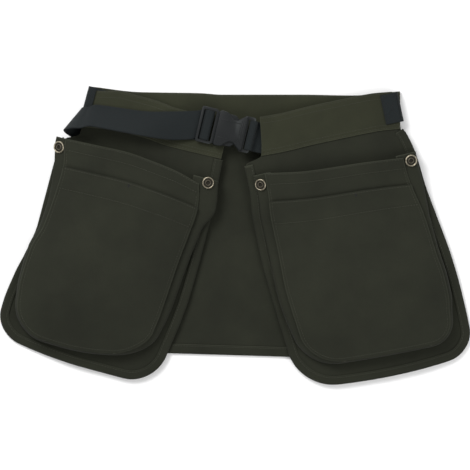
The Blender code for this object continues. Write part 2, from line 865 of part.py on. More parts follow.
def buckle_spot(frame, along, across):
    """(across, down) in the left frame of a place in the buckle's own frame."""
    ahead = Vector((math.cos(BUCKLE_SKEW), -math.sin(BUCKLE_SKEW)))
    side = Vector((math.sin(BUCKLE_SKEW), math.cos(BUCKLE_SKEW)))
    return Vector((belt_run(frame), BUCKLE_DROP)) + ahead * along + side * across


def belt(frame, place):
    """The belt from its end by the back band round the side fold, over the front band and into
    the buckle."""
    width, run = WEBBING_WIDTH, belt_run(frame)
    first = BELT_ROWS[0]
    roll = math.radians(first["roll"])
    top_drop = width * first["drop"]
    top_turn = (BELT_MIDDLE - RETURN_LEVEL) / 2
    low_turn = top_turn + width * math.sin(roll) / 2
    top_across = PANEL_WIDTH * STRAP_FOLD["left"] - SEAT_GAP - WEBBING / 2 + top_turn
    low_across = low_turn - WEBBING_WIDTH * BELT_FLARE
    skew = width * BELT_SKEW
    edges = [
        (
            Vector((top_across + BELT_RETURN / 4, top_drop + skew, RETURN_LEVEL)),
            Vector((low_across + BELT_RETURN, top_drop + skew + width, RETURN_LEVEL)),
        )
    ]
    for turn in spread(0, math.pi, 10):
        share = turn / math.pi
        drop = top_drop + skew * (1 - share)
        low_drop = drop + width * (1 + (math.cos(roll) - 1) * share)
        rise, reach = 1 - math.cos(turn), math.sin(turn)
        top = Vector((top_across - top_turn * reach, drop, RETURN_LEVEL + top_turn * rise))
        low = Vector((low_across - low_turn * reach, low_drop, RETURN_LEVEL + low_turn * rise))
        edges.append((top, low))
    for share in spread(0.09, 0.97, 10):
        drop = width * read(BELT_ROWS, "along", "drop", share)
        roll = math.radians(read(BELT_ROWS, "along", "roll", share))
        top = Vector((run * share, drop, BELT_MIDDLE))
        edges.append((top, top + Vector((0, width * math.cos(roll), width * math.sin(roll)))))
    over = FRAME_LEVEL + FRAME_THICK + RUN_CLEARANCE + WEBBING / 2
    under = BELT_LEVEL - SEAT_GAP - WEBBING / 2
    slot_1, slot_2 = RAIL + SLOT_WIDTH / 2, RAIL + SLOT_WIDTH * 1.5 + BAR_WIDTH
    bar = RAIL + SLOT_WIDTH
    threading = [
        (RAIL / 2, BELT_MIDDLE),
        (slot_1 - WEBBING, BELT_MIDDLE + WEBBING / 4),
        (slot_1 + WEBBING / 4, BUCKLE_MIDDLE),
        (bar - WEBBING / 3, over - WEBBING / 3),
        (bar + BAR_WIDTH / 4, over),
        (bar + BAR_WIDTH * 0.75, over),
        (bar + BAR_WIDTH + WEBBING / 3, over - WEBBING / 3),
        (slot_2 - WEBBING / 4, BUCKLE_MIDDLE),
        (slot_2 - WEBBING / 3, BELT_MIDDLE),
        (slot_2 - WEBBING * 1.2, under + WEBBING / 4),
        (bar, under),
    ]
    for along, level in threading:
        spots = [buckle_spot(frame, along, side * width / 2) for side in (-1, 1)]
        edges.append(tuple(Vector((spot.x, spot.y, level)) for spot in spots))
    tail = width * read(BELT_ROWS, "along", "drop", 1 - BELT_TAIL / run)
    edges.append(tuple(Vector((run - BELT_TAIL, drop, under)) for drop in (tail, tail + width)))
    grid = []
    for top, low in edges:
        row = [top.lerp(low, share) for share in spread(0, 1, 4)]
        grid.append([frame.local(*point) for point in row])
    return cloth("belt_webbing", grid, WEBBING, place, offset=0.0)


def buckle_tab(left, right, place):
    """Webbing from under the right waistband, up through the buckle's end slot and back."""
    half = BUCKLE_LENGTH - END_BAR / 2
    over = BUCKLE_MIDDLE + END_THICK / 2 + RUN_CLEARANCE + WEBBING / 2
    slot = BUCKLE_LENGTH - END_BAR - TAB_SLOT / 2
    end = BUCKLE_LENGTH + RUN_CLEARANCE + WEBBING
    ends = [BUCKLE_LENGTH + TAB_LENGTH * share for share in (1.0, 0.6, 0.3)]

    def under_band(along, side, ply):
        """The level of one of the tab's two plies under the band, the upper one 0."""
        spot = buckle_spot(left, along, WEBBING_WIDTH * side)
        across, down = right.inside(left.world(spot.x, spot.y))
        band = panel_level(right, across, min(down, BAND_HEIGHT)) - PLY_GAP - BAND_PLY
        return band - 2 * SEAT_GAP - WEBBING / 2 - ply * (WEBBING + SEAT_GAP)

    columns = []
    for side in spread(-0.5, 0.5, 3):
        upper = under_band(ends[2], side, 0)
        lower = under_band(ends[2], side, 1)
        path = [(along, under_band(along, side, 1)) for along in ends]
        path += [
            (end, lower + WEBBING / 4),
            (half, lower + WEBBING),
            (slot + WEBBING, BUCKLE_MIDDLE - END_THICK / 2 - WEBBING),
            (slot, BUCKLE_MIDDLE - WEBBING),
            (slot, BUCKLE_MIDDLE + WEBBING),
            (slot + WEBBING, over - WEBBING / 3),
            (half - WEBBING / 2, over),
            (half + WEBBING / 2, over),
            (end - WEBBING / 3, over - WEBBING / 2),
            (end + WEBBING / 4, BUCKLE_MIDDLE),
            (end + WEBBING / 2, upper + WEBBING * 2),
            (end + WEBBING * 1.6, upper + WEBBING / 3),
        ]
        path += [(along, under_band(along, side, 0)) for along in reversed(ends)]
        spots = [buckle_spot(left, along, WEBBING_WIDTH * side) for along, _ in path]
        columns.append([left.local(*spot, level) for spot, (_, level) in zip(spots, path)])
    grid = [list(row) for row in zip(*columns)]
    return cloth("buckle_tab", grid, WEBBING, place, offset=0.0)


def flat_solid(name, outlines, thickness, place):
    """Closed outlines, the later ones holes, given a thickness about z = 0, as a mesh."""
    collection, material, parent, _ = place
    curve = bpy.data.curves.new(name, "CURVE")
    curve.dimensions = "2D"
    curve.fill_mode = "BOTH"
    curve.extrude = thickness / 2
    for outline in outlines:
        line = curve.splines.new("POLY")
        line.points.add(len(outline) - 1)
        for point, (x, y) in zip(line.points, outline):
            point.co = (x, y, 0, 1)
        line.use_cyclic_u = True
    drawn = bpy.data.objects.new(name + "_outline", curve)
    collection.objects.link(drawn)
    graph = bpy.context.evaluated_depsgraph_get()
    mesh = bpy.data.meshes.new_from_object(drawn.evaluated_get(graph))
    bpy.data.objects.remove(drawn)
    shape = bmesh.new()
    shape.from_mesh(mesh)
    bmesh.ops.remove_doubles(shape, verts=shape.verts, dist=0.00001)
    bmesh.ops.recalc_face_normals(shape, faces=shape.faces)
    shape.to_mesh(mesh)
    shape.free()
    mesh.materials.clear()
    return add_object(name, mesh, collection, material, parent)


def rectangle(start, end, half):
    return [(start, -half), (end, -half), (end, half), (start, half)]


def mirrored(points):
    """An outline from its upper half, which runs from left to right."""
    return points + [(x, -y) for x, y in reversed(points)]


def place_buckle(obj, frame):
    spot = buckle_spot(frame, 0, 0)
    obj.location = frame.local(spot.x, spot.y, BUCKLE_MIDDLE)
    obj.rotation_euler = (0, 0, BUCKLE_SKEW)


def cutter(name, low, high, place, helpers):
    """A box that is cut away, between two corners."""
    bpy.ops.mesh.primitive_cube_add(size=1)
    box = bpy.context.object
    box.name = name
    for holder in list(box.users_collection):
        holder.objects.unlink(box)
    helpers.objects.link(box)
    box.data.transform(Matrix.Diagonal((*(Vector(high) - Vector(low)), 1)))
    box.data.transform(Matrix.Translation((Vector(low) + Vector(high)) / 2))
    box.hide_render = True
    box.display_type = "WIRE"
    box.parent = place[2]
    return box


def soften(obj, width):
    bevel = obj.modifiers.new("soft_edges", "BEVEL")
    bevel.width = width
    bevel.segments = 1
    bevel.limit_method = "ANGLE"
    bevel.angle_limit = math.radians(40)


def join(obj, other, operation):
    step = obj.modifiers.new(other.name, "BOOLEAN")
    step.operation = operation
    step.object = other
    step.solver = "EXACT"


def buckle_male(frame, place):
    """The ladder frame that holds the belt, with the two arms and the tongue of the clasp."""
    half = BUCKLE_WIDTH / 2
    webbing = WEBBING_WIDTH / 2 + RUN_CLEARANCE
    bar = RAIL + SLOT_WIDTH
    body = bar + BAR_WIDTH + SLOT_WIDTH + RAIL
    reach = NOTCH_AT + NOTCH_RUN * 0.30
    arm_in, arm_out = half - NOTCH_DEPTH - RUN_CLEARANCE, half - NOTCH_DEPTH * 0.35
    inner = half - BUCKLE_WALL - RUN_CLEARANCE
    points = [
        (0, half - RAIL / 2),
        (RAIL / 2, half),
        (body - RAIL, half),
        (body, inner),
        (NOTCH_AT - NOTCH_RUN * 0.45, inner),
        (NOTCH_AT, arm_out),
        (reach, arm_in),
        (reach, arm_in - RAIL * 0.9),
        (NOTCH_AT, arm_in - RAIL * 0.6),
        (body + RAIL, inner - RAIL * 1.3),
        (body + RAIL, half * 0.24),
        (reach + RAIL, half * 0.20),
    ]
    outlines = [
        mirrored(points),
        rectangle(RAIL, bar, webbing),
        rectangle(bar + BAR_WIDTH, body - RAIL, webbing),
    ]
    obj = flat_solid("buckle_male", outlines, FRAME_THICK, place)
    soften(obj, 0.5 * MM)
    place_buckle(obj, frame)
    return obj


def buckle_female(frame, place, helpers):
    """The receptacle, open at its mouth and at its two side windows, with the tab's slot."""
    half = BUCKLE_WIDTH / 2
    mouth = 2 * (RAIL + SLOT_WIDTH) + BAR_WIDTH + RUN_CLEARANCE
    shell = BUCKLE_LENGTH - END_BAR - TAB_SLOT - RAIL
    low = half - NOTCH_DEPTH
    points = [
        (mouth, half - BUCKLE_WALL),
        (mouth + BUCKLE_WALL, half),
        (NOTCH_AT - NOTCH_RUN * 0.50, half - BUCKLE_WALL / 2),
        (NOTCH_AT - NOTCH_RUN * 0.30, half - NOTCH_DEPTH * 0.66),
        (NOTCH_AT - NOTCH_RUN * 0.10, low),
        (NOTCH_AT + NOTCH_RUN * 0.12, low),
        (NOTCH_AT + NOTCH_RUN * 0.36, half - NOTCH_DEPTH * 0.52),
        (NOTCH_AT + NOTCH_RUN * 0.58, half - BUCKLE_WALL / 3),
        (shell + BUCKLE_WALL, half - BUCKLE_WALL / 2),
    ]
    obj = flat_solid("buckle_female", [mirrored(points)], BUCKLE_THICK, place)
    soften(obj, 1.4 * MM)
    end_points = [
        (shell - BUCKLE_WALL, half),
        (BUCKLE_LENGTH - RAIL / 2, half),
        (BUCKLE_LENGTH, half - RAIL / 2),
    ]
    helper_place = (helpers, place[1], place[2], False)
    slot_start = BUCKLE_LENGTH - END_BAR - TAB_SLOT
    webbing = WEBBING_WIDTH / 2 + RUN_CLEARANCE
    end = flat_solid(
        "tab_end",
        [mirrored(end_points), rectangle(slot_start, slot_start + TAB_SLOT, webbing)],
        END_THICK,
        helper_place,
    )
    end.hide_render = True
    end.display_type = "WIRE"
    join(obj, end, "UNION")
    room = FRAME_THICK / 2 + RUN_CLEARANCE
    wide = half - BUCKLE_WALL
    cavity = cutter("cavity", (mouth - RAIL, -wide, -room), (shell - RAIL, wide, room), place, helpers)
    join(obj, cavity, "DIFFERENCE")
    for piece in (obj, end, cavity):
        place_buckle(piece, frame)
    return obj


def main():
    for obj in list(bpy.data.objects):
        bpy.data.objects.remove(obj, do_unlink=True)
    scene = bpy.context.scene
    scene.unit_settings.system = "METRIC"
    apron = bpy.data.collections.new("garden_apron")
    helpers = bpy.data.collections.new("cutters")
    for collection in (apron, helpers):
        scene.collection.children.link(collection)
    canvas = add_material("olive_canvas", (0.030, 0.032, 0.020), 0.75)
    lighter = add_material("olive_band", (0.042, 0.046, 0.027), 0.75)
    webbing = add_material("black_webbing", (0.024, 0.028, 0.031), 0.7)
    plastic = add_material("black_plastic", (0.020, 0.022, 0.024), 0.35)
    brass = add_material("antique_brass", (0.30, 0.24, 0.14), 0.35, 1.0)

    half = LOOP_WIDTH / 2
    left = Frame("left", LOOP_CENTRE_X - half, LEFT_TILT, 1)
    right = Frame("right", LOOP_CENTRE_X + half, RIGHT_TILT, -1)
    back_panel((apron, canvas, None, False))
    back_waistband((apron, lighter, None, False))
    back_hem((apron, canvas, None, True))
    for frame in (left, right):
        frame.holder = bpy.data.objects.new(frame.side + "_frame", None)
        frame.holder.location = (*frame.start, 0)
        frame.holder.rotation_euler = (0, 0, -frame.sign * frame.tilt)
        apron.objects.link(frame.holder)
        turned = frame.sign < 0
        place = (apron, canvas, frame.holder, turned)
        front_panel(frame, place)
        front_waistband(frame, (apron, lighter, frame.holder, turned))
        edge_binding(frame, (apron, canvas, frame.holder, not turned))
        pocket_face(frame, place)
        slot_pocket(frame, place)
        gusset(frame, place)
        side_strap(frame, (apron, webbing, frame.holder, turned))
        for end in ("outer", "inner"):
            stud(frame, end, (apron, brass, frame.holder, turned))
    belt(left, (apron, webbing, left.holder, False))
    buckle_tab(left, right, (apron, webbing, left.holder, False))
    buckle_male(left, (apron, plastic, left.holder, False))
    buckle_female(left, (apron, plastic, left.holder, False), helpers)


main()
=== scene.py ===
"""The looks of a waist apron for garden work, around its CAD frame.

Every cloth piece is drawn again as a fine sheet on the frame's own sizes, with its hems, seams,
stitches and slack. The floor is z = 0 and the waist points to +Y. Sizes are in metres.
"""

import json
import math

import bmesh
import bpy
from mathutils import Matrix, Vector, noise

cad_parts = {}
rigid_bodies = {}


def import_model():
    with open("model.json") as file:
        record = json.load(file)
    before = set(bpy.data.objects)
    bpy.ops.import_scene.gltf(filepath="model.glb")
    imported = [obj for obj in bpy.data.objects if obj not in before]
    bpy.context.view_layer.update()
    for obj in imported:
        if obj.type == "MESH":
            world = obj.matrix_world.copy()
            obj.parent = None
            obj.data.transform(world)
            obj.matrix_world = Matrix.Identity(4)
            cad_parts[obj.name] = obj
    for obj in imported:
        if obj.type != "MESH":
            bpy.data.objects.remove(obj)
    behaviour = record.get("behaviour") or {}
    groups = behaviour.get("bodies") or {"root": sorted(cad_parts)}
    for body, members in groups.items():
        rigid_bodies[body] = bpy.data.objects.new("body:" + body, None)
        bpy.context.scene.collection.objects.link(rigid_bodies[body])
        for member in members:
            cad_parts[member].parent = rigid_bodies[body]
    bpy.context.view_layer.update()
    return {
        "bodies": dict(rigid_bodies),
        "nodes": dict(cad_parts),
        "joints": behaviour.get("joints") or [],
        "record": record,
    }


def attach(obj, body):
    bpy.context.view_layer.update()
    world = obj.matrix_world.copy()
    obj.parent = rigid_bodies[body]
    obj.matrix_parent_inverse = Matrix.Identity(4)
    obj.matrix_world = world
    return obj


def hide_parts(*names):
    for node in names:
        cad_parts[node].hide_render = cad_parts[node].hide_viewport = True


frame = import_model()
NODES = frame["nodes"]
SCENE = bpy.context.scene

MM = 0.001

# Cloth and webbing.
CANVAS = 1.2 * MM
BAND_PLY = 1.0 * MM
TAPE_PLY = 0.8 * MM
GUSSET_PLY = 1.0 * MM
WEBBING = 1.5 * MM
WEBBING_WIDTH = 38 * MM
PLY_GAP = 0.4 * MM
TAPE_GAP = 0.6 * MM
SEAT_GAP = 0.3 * MM

# The waist loop, laid flat.
LOOP_WIDTH = 402 * MM
LOOP_CENTRE_X = 15.4 * MM
WAIST_Y = 185 * MM
BAND_HEIGHT = 48 * MM
WAIST_OPENING = 6.2 * MM
BAND_COVER = 4 * MM

# The back panel.
BACK_DROP = 340 * MM
HEM_SLANT = 12 * MM
BACK_HEM = 12 * MM
HEM_RISE = 18 * MM

# The two front panels.
PANEL_WIDTH = 213 * MM
PANEL_DROP = 354 * MM
LEFT_TILT = math.radians(15)
RIGHT_TILT = math.radians(12)
TAPE_WIDTH = 10 * MM
DRAPE = 100 * MM
SHOULDER = 125 * MM

# The bellows pockets.
POCKET_WIDTH = 184 * MM
SLOT_DROP = 35 * MM
SEAM_HEIGHT = 14 * MM
CROWN = 11 * MM
FLANGE = 8 * MM
CREASE = 12 * MM

# The press studs.
STUD_RADIUS = 7.7 * MM
STUD_HEIGHT = 2.2 * MM

# The side straps and the belt.
STRAP_SEWN = 26 * MM
BUCKLE_TO_BAND = 12.6 * MM
BELT_RETURN = 12 * MM
BELT_TAIL = 28 * MM

# The side-release buckle.
BUCKLE_LENGTH = 70 * MM
BUCKLE_WIDTH = 46 * MM
BUCKLE_THICK = 10 * MM
BUCKLE_TILT = math.radians(13.5)
FRAME_THICK = 3.2 * MM
RAIL = 3.2 * MM
SLOT_WIDTH = 5 * MM
BAR_WIDTH = 6 * MM
NOTCH_DEPTH = 8.5 * MM
RUN_CLEARANCE = 0.4 * MM
TAB_SLOT = 4.6 * MM
END_BAR = 3.4 * MM
END_THICK = 4 * MM
TAB_LENGTH = 34 * MM
GRIP_RIB_WIDTH = 1.0 * MM
GRIP_RIB_RISE = 0.45 * MM
CROSS_RIB_WIDTH = 0.9 * MM
CROSS_RIB_RISE = 0.4 * MM
RIB_EDGE = 0.2 * MM


def named(columns, *numbers):
    """One row of numbers, with a name for each."""
    return dict(zip(columns.split(), numbers))


def table(columns, *rows):
    """Rows of numbers with named columns."""
    return [named(columns, *row) for row in rows]


# The waist edge of each panel: how far it lies below its frame, in shares of the band's height.
WAIST_EDGE = {
    "left": table(
        "along below",
        (0.00, 0.00),
        (0.08, -0.06),
        (0.24, -0.18),
        (0.43, -0.18),
        (0.63, -0.12),
        (1.00, -0.16),
    ),
    "right": table(
        "along below",
        (0.00, -0.01),
        (0.17, -0.08),
        (0.32, -0.09),
        (0.60, -0.09),
        (0.84, -0.06),
        (1.00, -0.08),
    ),
    "back": table(
        "along below",
        (0.00, -0.08),
        (0.15, 0.06),
        (0.35, 0.09),
        (0.42, 0.13),
        (0.68, 0.13),
        (0.84, 0.15),
        (1.00, 0.04),
    ),
}

# A panel's two sides down its drop, in shares of its width.
PANEL_SIDES = {
    "left": table(
        "down outer inner",
        (0.00, 0.020, 0.865),
        (0.165, 0.016, 0.874),
        (0.20, -0.070, 0.878),
        (0.33, -0.077, 0.892),
        (0.52, -0.077, 0.894),
        (0.64, -0.106, 0.891),
        (0.72, -0.134, 0.880),
        (0.85, -0.158, 0.850),
        (1.00, -0.160, 0.818),
    ),
    "right": table(
        "down outer inner",
        (0.00, 0.075, 0.880),
        (0.14, 0.070, 0.922),
        (0.158, 0.056, 1.020),
        (0.24, 0.024, 1.018),
        (0.36, 0.006, 1.035),
        (0.49, -0.026, 1.036),
        (0.62, -0.057, 1.024),
        (0.74, -0.072, 1.009),
        (0.86, -0.077, 0.993),
        (1.00, -0.075, 0.978),
    ),
}

# Where the binding starts down each side, in shares of the drop.
TAPE_START = {
    "left": {"outer": 0.195, "inner": 0.143},
    "right": {"outer": 0.143, "inner": 0.162},
}

# A panel's foot: its drop in shares of the panel's, its corners' radii and how far it rises from
# its lowest place to them in shares of the width, and that place as a share across it.
FOOT = "drop outer inner low up_out up_in"
PANEL_FOOT = {
    "left": named(FOOT, 0.968, 0.15, 0.18, 0.60, 0.066, 0.0),
    "right": named(FOOT, 0.996, 0.15, 0.22, 0.45, 0.036, 0.048),
}

# A pocket's mouth and its two side seams, in shares of the panel's drop and the pocket's width,
# and the slot pocket's edge below the mouth in shares of the slot's drop.
POCKET_MOUTH = {
    "left": table(
        "across down slot",
        (0.00, 0.195, 1.00),
        (0.20, 0.190, 1.01),
        (0.45, 0.185, 1.03),
        (0.65, 0.193, 1.00),
        (0.82, 0.204, 0.97),
        (1.00, 0.227, 0.86),
    ),
    "right": table(
        "across down slot",
        (0.00, 0.242, 1.00),
        (0.30, 0.229, 1.00),
        (0.68, 0.218, 1.00),
        (1.00, 0.193, 1.04),
    ),
}
POCKET_SIDES = {
    "left": table(
        "down outer inner",
        (0.21, -0.060, 0.900),
        (0.32, -0.026, 0.940),
        (0.42, -0.034, 0.925),
        (0.52, -0.052, 0.905),
        (0.61, -0.098, 0.894),
        (0.73, -0.108, 0.880),
        (0.81, -0.094, 0.864),
        (0.94, -0.084, 0.846),
    ),
    "right": table(
        "down outer inner",
        (0.21, 0.112, 1.070),
        (0.28, 0.108, 1.075),
        (0.36, 0.090, 1.087),
        (0.45, 0.055, 1.086),
        (0.60, 0.028, 1.090),
        (0.70, 0.006, 1.078),
        (0.76, 0.004, 1.066),
        (0.82, 0.020, 1.056),
        (0.94, 0.040, 1.042),
    ),
}
POCKET_FOOT = {
    "left": named(FOOT, 0.916, 0.22, 0.20, 0.42, 0.022, 0.112),
    "right": named(FOOT, 0.920, 0.14, 0.24, 0.20, 0.004, 0.036),
}

# How the bellows stand between the mouth and the foot, in shares of the seam height and the crown.
BELLOWS = {
    "left": table(
        "down seam crown",
        (0.00, 0.82, 0.30),
        (0.15, 0.70, 0.62),
        (0.45, 0.85, 0.95),
        (0.75, 1.00, 0.85),
        (1.00, 0.95, 0.00),
    ),
    "right": table(
        "down seam crown",
        (0.00, 0.80, 0.32),
        (0.15, 0.68, 0.60),
        (0.45, 0.85, 0.92),
        (0.75, 1.00, 0.85),
        (1.00, 0.95, 0.00),
    ),
}

# The gusset's crease round the pocket, from the outer mouth corner to the inner one. Reach is in
# shares of the crease, lean is how far its upper leg slopes.
GUSSET_RUN = {
    "left": table(
        "along reach lean",
        (0.00, 1.05, 1.20),
        (0.05, 1.00, 1.20),
        (0.13, 0.60, 0.80),
        (0.28, 0.35, 0.50),
        (0.40, 0.24, 0.50),
        (0.58, 0.24, 0.45),
        (0.66, 0.62, 0.38),
        (0.74, 0.95, 0.35),
        (0.90, 1.10, 0.30),
        (0.94, 1.90, 0.10),
        (1.00, 2.00, 0.05),
    ),
    "right": table(
        "along reach lean",
        (0.00, 1.45, 0.10),
        (0.06, 1.30, 0.15),
        (0.14, 0.55, 0.40),
        (0.30, 0.40, 0.40),
        (0.42, 0.24, 0.45),
        (0.56, 0.24, 0.45),
        (0.64, 0.55, 0.40),
        (0.75, 1.00, 0.35),
        (0.93, 1.00, 1.10),
        (1.00, 1.10, 1.20),
    ),
}

# Soft valleys in the pocket faces: a line from one place to another on the face, with its half
# width in shares of the pocket's width and its depth in shares of the crown.
VALLEYS = {
    "left": table(
        "across down to_across to_down half depth",
        (0.10, 0.42, 0.48, 0.66, 0.10, 0.22),
        (0.28, 0.00, 0.30, 0.16, 0.07, 0.12),
    ),
    "right": table(
        "across down to_across to_down half depth",
        (0.72, 0.36, 0.34, 0.48, 0.12, 0.12),
        (0.18, 0.02, 0.17, 0.14, 0.05, 0.14),
    ),
}

# How far the gusset rises above each mouth corner, in shares of the slot's drop.
GUSSET_TOPS = {
    "left": {"outer": 0.0, "inner": 0.30},
    "right": {"outer": 0.12, "inner": 0.0},
}

# The belt from its side fold to the buckle: the top edge's drop in shares of the webbing's width,
# and the roll about that edge in degrees.
BELT_ROWS = table(
    "along drop roll",
    (0.02, 0.60, 41),
    (0.09, 0.47, 41),
    (0.23, 0.39, 39),
    (0.52, 0.25, 34),
    (0.70, 0.07, 20),
    (0.85, -0.10, 6),
    (1.00, -0.29, 0),
)

# The columns of the panels and of the pockets, as shares across them.
PANEL_COLUMNS = [0, 0.05, 0.15, 0.27, 0.39, 0.51, 0.63, 0.75, 0.86, 0.95, 1]
POCKET_COLUMNS = [0, 0.06, 0.17, 0.30, 0.43, 0.57, 0.70, 0.83, 0.94, 1]

# The looks of the cloth: its slack, the hems' plies and the way that seams draw it in.
FACE_SEAM = 3.2 * MM
FACE_HEM = 14 * MM
SLOT_HEM = 28 * MM
HEM_PLY = 0.5 * MM
SEAM_DRAW = 0.35 * MM
SLOT_DIP = 0.9 * MM
SEAM_PUCKER = 0.12 * MM
PUCKER_PITCH = 8 * MM
BACK_SLACK = 0.7 * MM
PANEL_SLACK = 0.9 * MM
POCKET_SLACK = 1.3 * MM
GUSSET_STEPS = 5
SEAM_GROOVE = 1.3 * MM
SEAM_STEP = 1.2 * MM
EDGE_SEAM = 2.2 * MM
HEM_STEP = 2 * MM
WAVE_REACH = 4 * MM
BAND_WAVE_REACH = 5 * MM
TAPE_WAVE_REACH = 3 * MM
DIP_ROW = 0.985
DIP_WIDTH = 2.4 * MM

# Stitches: their pitch and length, and the thread's width.
STITCH_SIZE = (3.6 * MM, 2.7 * MM)
THREAD = 0.55 * MM

# Where each slot pocket is tacked to its face, as a share across it, and the tack's sizes.
TACKS = {"left": 0.48, "right": 0.40}
TACK_DOWN = 4.5 * MM
TACK_SIZE = (3.6 * MM, 2.8 * MM)
TACK_STITCH = (4 * MM, 2.4 * MM)

# A stud's place: its row down the pocket, and how far out on the gusset in shares of its radius.
STUD_PLACES = {
    "left": {"outer": (0.31, 1.12), "inner": (-0.05, 1.62)},
    "right": {"outer": (0.16, 1.30), "inner": (0.36, 1.12)},
}

# A stud turned from its middle out: across in shares of its rim, and up in shares of its height.
STUD_SECTION = table(
    "across up",
    (0.000, 0.10),
    (0.240, 0.10),
    (0.300, 0.18),
    (0.330, 0.70),
    (0.370, 0.92),
    (0.430, 0.95),
    (0.480, 0.72),
    (0.540, 0.48),
    (0.680, 0.44),
    (0.740, 0.60),
    (0.800, 0.96),
    (0.880, 1.05),
    (0.960, 0.82),
    (1.000, 0.42),
    (0.970, 0.06),
    (0.900, 0.00),
    (0.000, 0.00),
)

# Where each side strap folds and ends across its panel, in shares of the panel's width, and
# where its top edge lies, in shares of its own.
STRAP_FOLD = {"left": -0.006, "right": 0.041}
STRAP_TOP = {"left": -0.10, "right": 0.05}
STRAP_END = {"left": 0.045, "right": 0.150}

# Heights in the stack of layers, at their places on the floor.
BACK_TOP = 2 * (BAND_PLY + PLY_GAP) + CANVAS
BAND_LEVEL = BACK_TOP + WAIST_OPENING + BAND_PLY + PLY_GAP
OVER_BACK = BACK_TOP + PLY_GAP + TAPE_PLY + TAPE_GAP
ON_FLOOR = TAPE_PLY + TAPE_GAP
BAND_TOP = BAND_LEVEL + CANVAS + PLY_GAP + BAND_PLY
STRAP_LEVEL = BAND_TOP + SEAT_GAP
BELT_LEVEL = STRAP_LEVEL + WEBBING + SEAT_GAP
INNER_LIFT = {"left": 0.0, "right": 5 * MM}

# The belt's turn at the side fold, the buckle's place, and the levels that they lie at.
BELT_FLARE = 0.44
BELT_SKEW = 0.18
BUCKLE_DROP = 6.0 * MM
BUCKLE_SKEW = LEFT_TILT - BUCKLE_TILT
FRAME_LEVEL = BELT_LEVEL + WEBBING + RUN_CLEARANCE
BUCKLE_MIDDLE = FRAME_LEVEL + FRAME_THICK / 2
BELT_MIDDLE = BELT_LEVEL + WEBBING / 2
RETURN_LEVEL = SEAT_GAP + WEBBING / 2


def blend(low, high, value):
    """A smooth step from 0 at low to 1 at high."""
    share = min(1.0, max(0.0, (value - low) / (high - low)))
    return share * share * (3 - 2 * share)


def read(rows, key, column, at):
    """The column's value where the key column is at, on a smooth line through the rows."""
    keys = [row[key] for row in rows]
    values = [row[column] for row in rows]
    if at <= keys[0]:
        return values[0]
    if at >= keys[-1]:
        return values[-1]
    slopes = [(b - a) / (q - p) for a, b, p, q in zip(values, values[1:], keys, keys[1:])]
    bends = [slopes[0]]
    for before, after in zip(slopes, slopes[1:]):
        flat = before * after <= 0
        bends.append(0.0 if flat else 2 * before * after / (before + after))
    bends.append(slopes[-1])
    index = max(i for i, start in enumerate(keys[:-1]) if start <= at)
    span = keys[index + 1] - keys[index]
    share = (at - keys[index]) / span
    rise = values[index + 1] - values[index]
    return (
        values[index]
        + share * share * (3 - 2 * share) * rise
        + span * share * (1 - share) ** 2 * bends[index]
        - span * share * share * (1 - share) * bends[index + 1]
    )


def spread(low, high, count):
    """Evenly spaced values from low to high."""
    return [low + (high - low) * i / (count - 1) for i in range(count)]


class Frame:
    """A flat frame on the floor: across from the outer side, down from the waist."""

    def __init__(self, side, x, tilt, sign):
        self.side = side
        self.sign = sign
        self.turned = sign < 0
        self.across = Vector((sign * math.cos(tilt), -math.sin(tilt)))
        self.down = Vector((-sign * math.sin(tilt), -math.cos(tilt)))
        self.start = Vector((x, WAIST_Y))

    def world(self, across, down):
        return self.start + self.across * across + self.down * down

    def inside(self, spot):
        """(across, down) of a place on the floor."""
        away = Vector((spot[0], spot[1])) - self.start
        return away.dot(self.across), away.dot(self.down)

    def local(self, across, down, height):
        spot = self.world(across, down)
        return Vector((spot.x, spot.y, height))


# Shared steps of the cloth pieces.
def finer(values, parts):
    """The values with evenly spaced ones put between each two neighbours."""
    found = []
    for a, b in zip(values, values[1:]):
        found += [a + (b - a) * i / parts for i in range(parts)]
    return found + [values[-1]]


def rounded(points, parts):
    """A smooth line through the points, with this many steps between each two."""
    ends = [points[0], *points, points[-1]]
    found = []
    for four in zip(ends, ends[1:], ends[2:], ends[3:]):
        for i in range(parts):
            t = i / parts
            found.append(tuple(curve_at(*numbers, t) for numbers in zip(*four)))
    return found + [tuple(points[-1])]


def curve_at(a, b, c, d, t):
    """A number on the smooth curve from b to c, with a before them and d after."""
    return 0.5 * (
        2 * b + (c - a) * t + (2 * a - 5 * b + 4 * c - d) * t * t + (3 * b - a - 3 * c + d) * t**3
    )


def with_line(values, at, reach):
    """The values with closer ones round a seam's place."""
    near = [at + reach * step for step in (-1.6, -1.0, -0.5, 0.0, 0.5, 1.0, 1.6)]
    kept = [v for v in values if abs(v - at) > 1.9 * reach]
    inside = [v for v in near if values[0] < v < values[-1]]
    return sorted(kept + inside)


def groove(away, width):
    """How deep a seam draws the cloth in at this distance from it, from 0 to 1."""
    return math.exp(-((away / width) ** 2))


def pucker(along, away, reach):
    """The small waves beside a row of stitches."""
    wobble = noise.noise(Vector((along / (3 * PUCKER_PITCH), away / PUCKER_PITCH, 0.5)))
    return math.sin(2 * math.pi * along / PUCKER_PITCH + 2.5 * wobble) * groove(away, reach)


def applied(obj):
    """Makes the object's modifiers part of its mesh."""
    bpy.ops.object.select_all(action="DESELECT")
    obj.select_set(True)
    bpy.context.view_layer.objects.active = obj
    for modifier in list(obj.modifiers):
        bpy.ops.object.modifier_apply(modifier=modifier.name)
    return obj


def dress(obj, node, finish):
    """Puts the finish on a piece that stands for a CAD node and rides with it."""
    obj.data.materials.clear()
    obj.data.materials.append(finish)
    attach(obj, "root")
    if node:
        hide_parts(node)
    return obj


